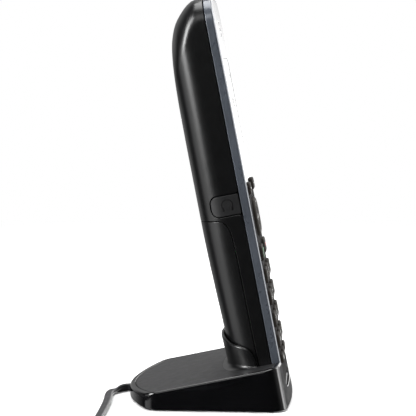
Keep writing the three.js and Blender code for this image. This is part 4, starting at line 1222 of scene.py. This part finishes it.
def edge_rows():
    rows = []
    for f in [-0.45] + list(np.linspace(0, 90, 8)) + [90.45]:
        if f < 0:
            a0, t0 = 0.0, -0.95 - 0.5
        elif f > 90:
            a0, t0 = -0.95 - 0.3, 0.0
        else:
            a0, t0 = -0.95 + 0.95 * math.cos(math.radians(f)), -0.95 + 0.95 * math.sin(math.radians(f))
        Q = plane_ring(lambda P: base_sdf(P) < a0 - 1e-4, 1500, zf=lambda y: top_z(y) + t0 / 0.978)
        rows.append(resample(BASE.inv(resample(Q, 0.95)), 0.9))
    for f in np.linspace(0, 75, 5):
        a0, z0 = -0.8 + 0.8 * math.cos(math.radians(f)), 1.05 - 0.8 * math.sin(math.radians(f))
        Q = plane_ring(lambda P: base_sdf(P) < a0 - 1e-4, 1500, zf=lambda y: np.full(np.shape(y), z0))
        rows.append(resample(BASE.inv(resample(Q, 1.1)), 1.0))
    return rows


base_ob = patch("cradle_housing", BASE, [BASE.inv(foot3), BASE.inv(inner3)], 1.9, GLOSS, "base", to=same, dirs=same, flip=False, r=0.25, step=1.5, bstep=0.6,
                passes=3, profiles={0: (0.02, round_edge(0.02, 1.9, 1))}, lines=edge_rows(), slot="gloss", replaces=["base_housing"])

# the front wall has a satin finish, the sides are polished
base_ob.data.materials.append(FRONT)
me = base_ob.data
nn = np.zeros(len(me.polygons) * 3)
me.polygons.foreach_get("normal", nn)
me.polygons.foreach_get("center", cen := np.zeros(len(me.polygons) * 3))
nn, cc = nn.reshape(-1, 3), cen.reshape(-1, 3) * 1000
me.polygons.foreach_set("material_index", [1 if (n[1] < -0.972 and c[1] < -20) else 0 for n, c in zip(nn, cc)])

# near-black tray floor just under the panel edge: painted shade, so that the seam is dark
PAN = Flat(TOP_Z0 - 0.1, TOP_SLOPE)
PANL = Flat(TOP_Z0 - 1.5, TOP_SLOPE)
pocket = hs_inside(-0.62)
pan_out = plane_ring(lambda P: base_sdf(P) < -2.62, 720)
pan_out = np.roll(pan_out, -int(np.argmin(pan_out[:, 1] + np.abs(pan_out[:, 0]) * 0.001)), 0)
pan_out = pan_out[~((np.abs(pan_out[:, 0]) < NOTCH + 0.12) & (pan_out[:, 1] < -20))]


def hs_ring(off, drop=0.1, n=241, front=-7.0, zf=None):
    """Where the handset's surface grown by off meets the panel's plane; from the right front round the back to the left front."""
    ins = hs_inside(off)
    zf = zf or (lambda y: top_z(y) - drop)
    cyy = -22.0
    ph = np.linspace(math.radians(front), math.radians(180 - front), n)
    O = np.column_stack([np.zeros(n), np.full(n, cyy), zf(np.full(n, cyy))])
    D = np.column_stack([np.cos(ph), np.sin(ph), TOP_SLOPE * np.sin(ph)])
    t = bisect(lambda P: ins(world_hs(P)), O, D, 60)
    return O + D * t[:, None]


in_curve = hs_ring(-0.62)
yf = pan_out[0, 1]
front_r = np.array([[NOTCH + 0.12, y, top_z(y) - 0.1] for y in np.linspace(yf, in_curve[0, 1], 16)])
pan_loop = order_loop([pan_out, front_r * [-1, 1, 1], in_curve[::-1], front_r[::-1]])
panel = patch("cradle_panel", PAN, [pan_loop[:, :2]], 1.1, MATTE, "base", to=same, dirs=same, flip=False, r=0.22, step=2.0, bstep=0.6, passes=1, slot="matte", replaces=["base_top_panel"])
floor_loop = plane_ring(lambda P: base_sdf(P) < -1.7, 300)
under_loop = order_loop([pan_out * [1.012, 1.012, 1], front_r * [-1.02, 1, 1], hs_ring(-0.9)[::-1], front_r[::-1] * [1.02, 1, 1]])
under = patch("cradle_seam_shade_tray", PANL, [under_loop[:, :2]], 0.5, RECESS_SHADE, "base", to=same, dirs=same, flip=False, r=0.05, step=3.0, bstep=1.0, passes=1, slot="matte")

# ------------------------------------------------------------------ pocket that the foot of the handset stands in
POCKET = Skin(hs_inside(-1.1), CORE, 10, 14.3, 44)


def pocket_loop(n=300):
    c = np.array([0.0, 14 - 14.3 * math.pi / 2])
    ph = np.linspace(0, 2 * math.pi, n, endpoint=False)
    D = np.column_stack([np.cos(ph), np.sin(ph)])

    def ok(U):
        P = POCKET.point(U)
        W = hs_world(P)
        return (W[:, 2] < top_z(W[:, 1]) - 0.75) & (P[:, 2] > 0.9)
    lo, hi = np.zeros(n), np.full(n, 70.0)
    # walk out to the first failure, then bisect
    for r in np.arange(0.5, 70, 0.5):
        good = ok(c + D * r)
        hi = np.where(~good & (hi == 70.0), r, hi)
    lo = hi - 0.5
    for _ in range(24):
        m = (lo + hi) / 2
        g = ok(c + D * m[:, None])
        lo, hi = np.where(g, m, lo), np.where(g, hi, m)
    return c + D * lo[:, None]


def pin_hole(node, r=1.9):
    a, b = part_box(node)
    cx, cy = (a[0] + b[0]) * 500, (a[1] + b[1]) * 500
    ph = np.linspace(0, 2 * math.pi, 40, endpoint=False)
    W = np.column_stack([cx + r * np.cos(ph), cy + r * np.sin(ph), np.full(40, 16.0)])
    O, D = world_hs(W), world_hs(W - [0, 0, 1.0]) - world_hs(W)
    return POCKET.inv(O + D * bisect(POCKET.inside, O, D, 30)[:, None])


patch("cradle_pocket", POCKET, [pocket_loop(), pin_hole("charge_pin_left"), pin_hole("charge_pin_right")], 0.46, SHELL, "base", r=0.05, step=1.3, bstep=0.6, passes=1, slot="shell")

# ------------------------------------------------------------------ cup round the foot of the handset
rim_tab = np.array([[-21.6, 14.6], [-21.2, 16.2], [-20.9, 17.38], [-20.2, 20.2], [-19.4, 22.0], [-18.2, 24.0], [-16.3, 25.55], [-13.5, 26.2], [-9.5, 26.6], [-7.2, 27.5], [-5.2, 28.6], [-3, 29.2]]) + [CY, 0]
rim_d = dense(rim_tab, 0.4)
for _ in range(5):
    rim_d[1:-1] = 0.25 * rim_d[:-2] + 0.5 * rim_d[1:-1] + 0.25 * rim_d[2:]


def cup_loop():
    wh = world_hs(np.column_stack([np.zeros(len(rim_d)), rim_d]))
    s, d = wh[:, 1], wh[:, 2]
    x = side_x(CUP.inside, s, d)
    right = np.column_stack([x, s, d])
    # back part of the rim, level at z = 29.2
    n, cyy = 90, -16.0
    O = np.tile([0.0, cyy, 29.2], (n, 1))
    y_end = rim_d[-1, 1 - 1]
    x_end = x[-1]
    a0 = math.atan2(y_end - cyy, x_end)
    ph = np.linspace(a0, math.pi - a0, n)
    D = np.column_stack([np.cos(ph), np.sin(ph), np.zeros(n)])
    t = bisect(lambda P: CUP.inside(world_hs(P)), O, D, 60)
    backc = world_hs(O + D * t[:, None])[1:-1]
    left = right[::-1] * [-1, 1, 1]
    foot = world_hs(hs_ring(-2.0, drop=1.6, n=200, front=0.5))
    y0 = rim_tab[0, 0]
    fw = hs_world(foot)
    foot = foot[fw[:, 1] > y0 + 0.6][::-1]
    return CUP.inv(np.vstack([right, backc, left, foot]))


cup = patch("cradle_cup_wall", CUP, [cup_loop()], 1.5, SHELL, "base", r=0.72, step=1.1, bstep=0.5, passes=2, profiles={0: (0.75, full_round(0.75))}, slot="shell", replaces=["cradle_cup"])


def cup_fillet():
    F0 = hs_ring(-2.0, drop=0.1, n=181, front=1.0)
    U = CUP.inv(world_hs(F0))
    Nc = hs_dir(CUP.normal(U))
    F0 = hs_world(CUP.point(U))
    Np = np.tile(unit(np.array([0, -TOP_SLOPE, 1.0])), (len(F0), 1))
    y = F0[:, 1]
    f = 0.35 + 2.1 * np.clip((y - (-21.2 + CY)) / 9.0, 0, 1) ** 0.8
    keep = y > -21.3 + CY
    F0, Nc, Np, f = F0[keep], Nc[keep], Np[keep], f[keep]
    al = f / (1 + (Nc * Np).sum(1))
    C = F0 + (Nc + Np) * al[:, None]
    V, N = [], []
    ts = np.linspace(-0.04, 1.04, 11)
    for t in ts:
        n = unit(Nc * (1 - t) + Np * t)
        V.append(C - n * f[:, None])
        N.append(n)
    m = len(F0)
    V.append(F0 - Np * 0.6 + Nc * (f * 0.5)[:, None])
    N.append(-Np)
    V.append(F0 - Np * 0.5 - Nc * 0.5)
    N.append(-Nc)
    k = len(V)
    Fc = []
    for j in range(k):
        a, b = j * m, ((j + 1) % k) * m
        Fc += [(a + i, b + i, b + i + 1, a + i + 1) for i in range(m - 1)]
    Fc.append(tuple(j * m for j in range(k)))
    Fc.append(tuple(j * m + m - 1 for j in range(k))[::-1])
    return np.vstack(V), np.vstack(N), Fc


V, N, F = cup_fillet()
add("cradle_cup_fillet", V, F, SHELL, "base", slot="shell", N=N)

# ------------------------------------------------------------------ small trim on the CAD nodes that stay
KEEP = {
    "lcd_panel": LCD, "earpiece_speaker": STEEL, "keypad_mat": RUBBER, "handset_board": BOARD, "headset_jack": SHELL, "rear_speaker": STEEL,
    "battery_cell_left": CELL, "battery_cell_right": CELL, "battery_contact_lower": STEEL, "battery_contact_upper": STEEL,
    "charge_contact_left": GOLD, "charge_contact_right": GOLD, "base_bottom_plate": ADAPT, "rubber_foot_front": RUBBER, "rubber_foot_back": RUBBER,
    "base_screw_left": STEEL, "base_screw_right": STEEL, "base_board": BOARD, "charge_pin_left": GOLD, "charge_pin_right": GOLD,
    "cord_grommet": RUBBER, "adapter_blade_left": NICKEL, "adapter_blade_right": NICKEL,
}
for n, o in NODES.items():
    if o.hide_render:
        continue
    m = KEEP.get(n, SHELL)
    if n not in KEEP:
        print("no material planned for", n)
    if o.material_slots:
        for sl in o.material_slots:
            sl.link = "OBJECT"
            sl.material = m
    else:
        o.data.materials.append(m)

# ------------------------------------------------------------------ stage and light
floor_me = bpy.data.meshes.new("floor")
g = 24
fv = [((i / g - 0.5) * 9.0, (j / g - 0.5) * 9.0, -0.0002) for j in range(g + 1) for i in range(g + 1)]
ff = [(j * (g + 1) + i, j * (g + 1) + i + 1, (j + 1) * (g + 1) + i + 1, (j + 1) * (g + 1) + i) for j in range(g) for i in range(g)]
floor_me.from_pydata(fv, [], ff)
FLOORM, nt, bsdf = new_mat("floor_pale")
tc = nt.nodes.new("ShaderNodeTexCoord")
nz = nt.nodes.new("ShaderNodeTexNoise")
nz.inputs["Scale"].default_value = 3
nt.links.new(tc.outputs["Object"], nz.inputs["Vector"])
mr = nt.nodes.new("ShaderNodeMapRange")
mr.inputs["To Min"].default_value, mr.inputs["To Max"].default_value = 0.80, 0.84
nt.links.new(nz.outputs["Fac"], mr.inputs["Value"])
cb = nt.nodes.new("ShaderNodeCombineColor")
for k in range(3):
    nt.links.new(mr.outputs["Result"], cb.inputs[k])
nt.links.new(cb.outputs["Color"], bsdf.inputs["Base Color"])
bsdf.inputs["Roughness"].default_value = 0.9
bsdf.inputs["Specular IOR Level"].default_value = 0.1
dist = nt.nodes.new("ShaderNodeVectorMath")
dist.operation = "LENGTH"
nt.links.new(tc.outputs["Object"], dist.inputs[0])
fade = nt.nodes.new("ShaderNodeMapRange")
fade.interpolation_type = "SMOOTHSTEP"
fade.inputs["From Min"].default_value, fade.inputs["From Max"].default_value = 0.28, 0.75
nt.links.new(dist.outputs["Value"], fade.inputs["Value"])
flp = nt.nodes.new("ShaderNodeLightPath")
fmul = nt.nodes.new("ShaderNodeMath")
fmul.operation = "MULTIPLY"
nt.links.new(fade.outputs["Result"], fmul.inputs[0])
nt.links.new(flp.outputs["Is Camera Ray"], fmul.inputs[1])
paper = nt.nodes.new("ShaderNodeEmission")
paper.inputs["Color"].default_value, paper.inputs["Strength"].default_value = (1, 1, 1, 1), 1.0
fmix = nt.nodes.new("ShaderNodeMixShader")
nt.links.new(fmul.outputs["Value"], fmix.inputs[0])
nt.links.new(bsdf.outputs[0], fmix.inputs[1])
nt.links.new(paper.outputs[0], fmix.inputs[2])
nt.links.new(fmix.outputs[0], nt.nodes["Material Output"].inputs["Surface"])
floor_me.materials.append(FLOORM)
floor = bpy.data.objects.new("floor", floor_me)
scene.collection.objects.link(floor)
floor.visible_glossy = False

world = bpy.data.worlds.new("studio")
scene.world = world
world.use_nodes = True
wn, wl = world.node_tree.nodes, world.node_tree.links.new
for n in list(wn):
    wn.remove(n)
wout = wn.new("ShaderNodeOutputWorld")
bg_cam, bg_gl, bg_df = wn.new("ShaderNodeBackground"), wn.new("ShaderNodeBackground"), wn.new("ShaderNodeBackground")
bg_cam.inputs["Color"].default_value, bg_cam.inputs["Strength"].default_value = (1, 1, 1, 1), 1.0
bg_df.inputs["Color"].default_value, bg_df.inputs["Strength"].default_value = (1, 1, 1, 1), 0.38
wtc = wn.new("ShaderNodeTexCoord")
wsep = wn.new("ShaderNodeSeparateXYZ")
wl(wtc.outputs["Generated"], wsep.inputs["Vector"])


def wmap(src, f0, f1, t0, t1):
    n = wn.new("ShaderNodeMapRange")
    n.interpolation_type = "SMOOTHSTEP"
    n.inputs["From Min"].default_value, n.inputs["From Max"].default_value = f0, f1
    n.inputs["To Min"].default_value, n.inputs["To Max"].default_value = t0, t1
    wl(src, n.inputs["Value"])
    return n.outputs["Result"]


def wmath(op, a, b):
    n = wn.new("ShaderNodeMath")
    n.operation = op
    for i, v in enumerate((a, b)):
        if isinstance(v, (int, float)):
            n.inputs[i].default_value = v
        else:
            wl(v, n.inputs[i])
    return n.outputs["Value"]


X, Y, Z = wsep.outputs["X"], wsep.outputs["Y"], wsep.outputs["Z"]
# a bright sweep far on the +X side that starts just in front of the face plane, a dim room elsewhere
sweep_x = wmap(X, 0.55, 0.95, 0.0, 1.0)
front_side = wmap(Y, -0.02, -0.09, 0.0, 1.0)
sweep_f = wmath("MULTIPLY", sweep_x, front_side)
low = wmath("MULTIPLY", sweep_x, wmap(Y, -0.05, 0.6, 0.24, 0.55))
room = wmap(Z, -0.3, 0.9, 0.006, 0.07)
frontfill = wmath("MULTIPLY", wmap(Y, -0.3, -0.9, 0.0, 0.5), wmap(X, -0.5, 0.1, 0.0, 1.0))
# bright floor behind the object, and a narrow strip light in front of it
glow = wmath("MULTIPLY", wmath("MULTIPLY", wmap(X, -0.75, -0.45, 0.0, 1.0), wmap(X, 0.0, 0.32, 1.0, 0.0)), wmath("MULTIPLY", wmap(Y, 0.4, 0.75, 0.0, 1.0), wmap(Z, -0.05, 0.12, 1.0, 0.0)))
strip = wmath("MULTIPLY", wmath("MULTIPLY", wmap(X, 0.20, 0.32, 0.0, 1.0), wmap(X, 0.5, 0.62, 1.0, 0.0)), wmath("MULTIPLY", wmap(Y, -0.6, -0.8, 0.0, 1.0), wmap(Z, -0.35, -0.1, 0.0, 1.0)))
total = wmath("ADD", wmath("ADD", wmath("MULTIPLY", sweep_f, 3.4), low), wmath("ADD", room, frontfill))
total = wmath("ADD", total, wmath("ADD", wmath("MULTIPLY", glow, 1.5), wmath("MULTIPLY", strip, 6.0)))
high = wmath("MULTIPLY", wmap(X, 0.3, 0.7, 0.0, 1.0), wmap(Z, 0.12, 0.5, 0.0, 1.0))
dot = wn.new("ShaderNodeVectorMath")
dot.operation = "DOT_PRODUCT"
dot.inputs[1].default_value = Vector((-0.85, 0.19, 0.49)).normalized()
wl(wtc.outputs["Generated"], dot.inputs[0])
spot = wmap(dot.outputs["Value"], 0.972, 0.992, 0.0, 1.0)
total = wmath("ADD", total, wmath("ADD", wmath("MULTIPLY", high, 0.5), wmath("MULTIPLY", spot, 4.0)))
wl(total, bg_gl.inputs["Strength"])
lp = wn.new("ShaderNodeLightPath")
mix1, mix2 = wn.new("ShaderNodeMixShader"), wn.new("ShaderNodeMixShader")
wl(lp.outputs["Is Diffuse Ray"], mix1.inputs[0])
wl(bg_gl.outputs[0], mix1.inputs[1])
wl(bg_df.outputs[0], mix1.inputs[2])
wl(lp.outputs["Is Camera Ray"], mix2.inputs[0])
wl(mix1.outputs[0], mix2.inputs[1])
wl(bg_cam.outputs[0], mix2.inputs[2])
wl(mix2.outputs[0], wout.inputs["Surface"])


def area(name, loc, aim, sx, sy, power, color=(1, 1, 1)):
    L = bpy.data.lights.new(name, "AREA")
    L.shape, L.size, L.size_y, L.energy, L.color = "RECTANGLE", sx, sy, power, color
    o = bpy.data.objects.new(name, L)
    scene.collection.objects.link(o)
    o.location = loc
    o.rotation_mode = "QUATERNION"
    o.rotation_quaternion = (Vector(aim) - Vector(loc)).to_track_quat("-Z", "Y")
    o.visible_camera = False
    return o


area("rear_softbox", (-0.66, 0.96, 0.38), (0, 0, 0.10), 0.5, 0.70, 25)
area("top_softbox", (0.1, 0.1, 1.5), (0, 0, 0), 1.2, 1.2, 30)
area("front_softbox", (0.9, -1.3, 0.9), (0, 0, 0.08), 0.9, 0.9, 10)
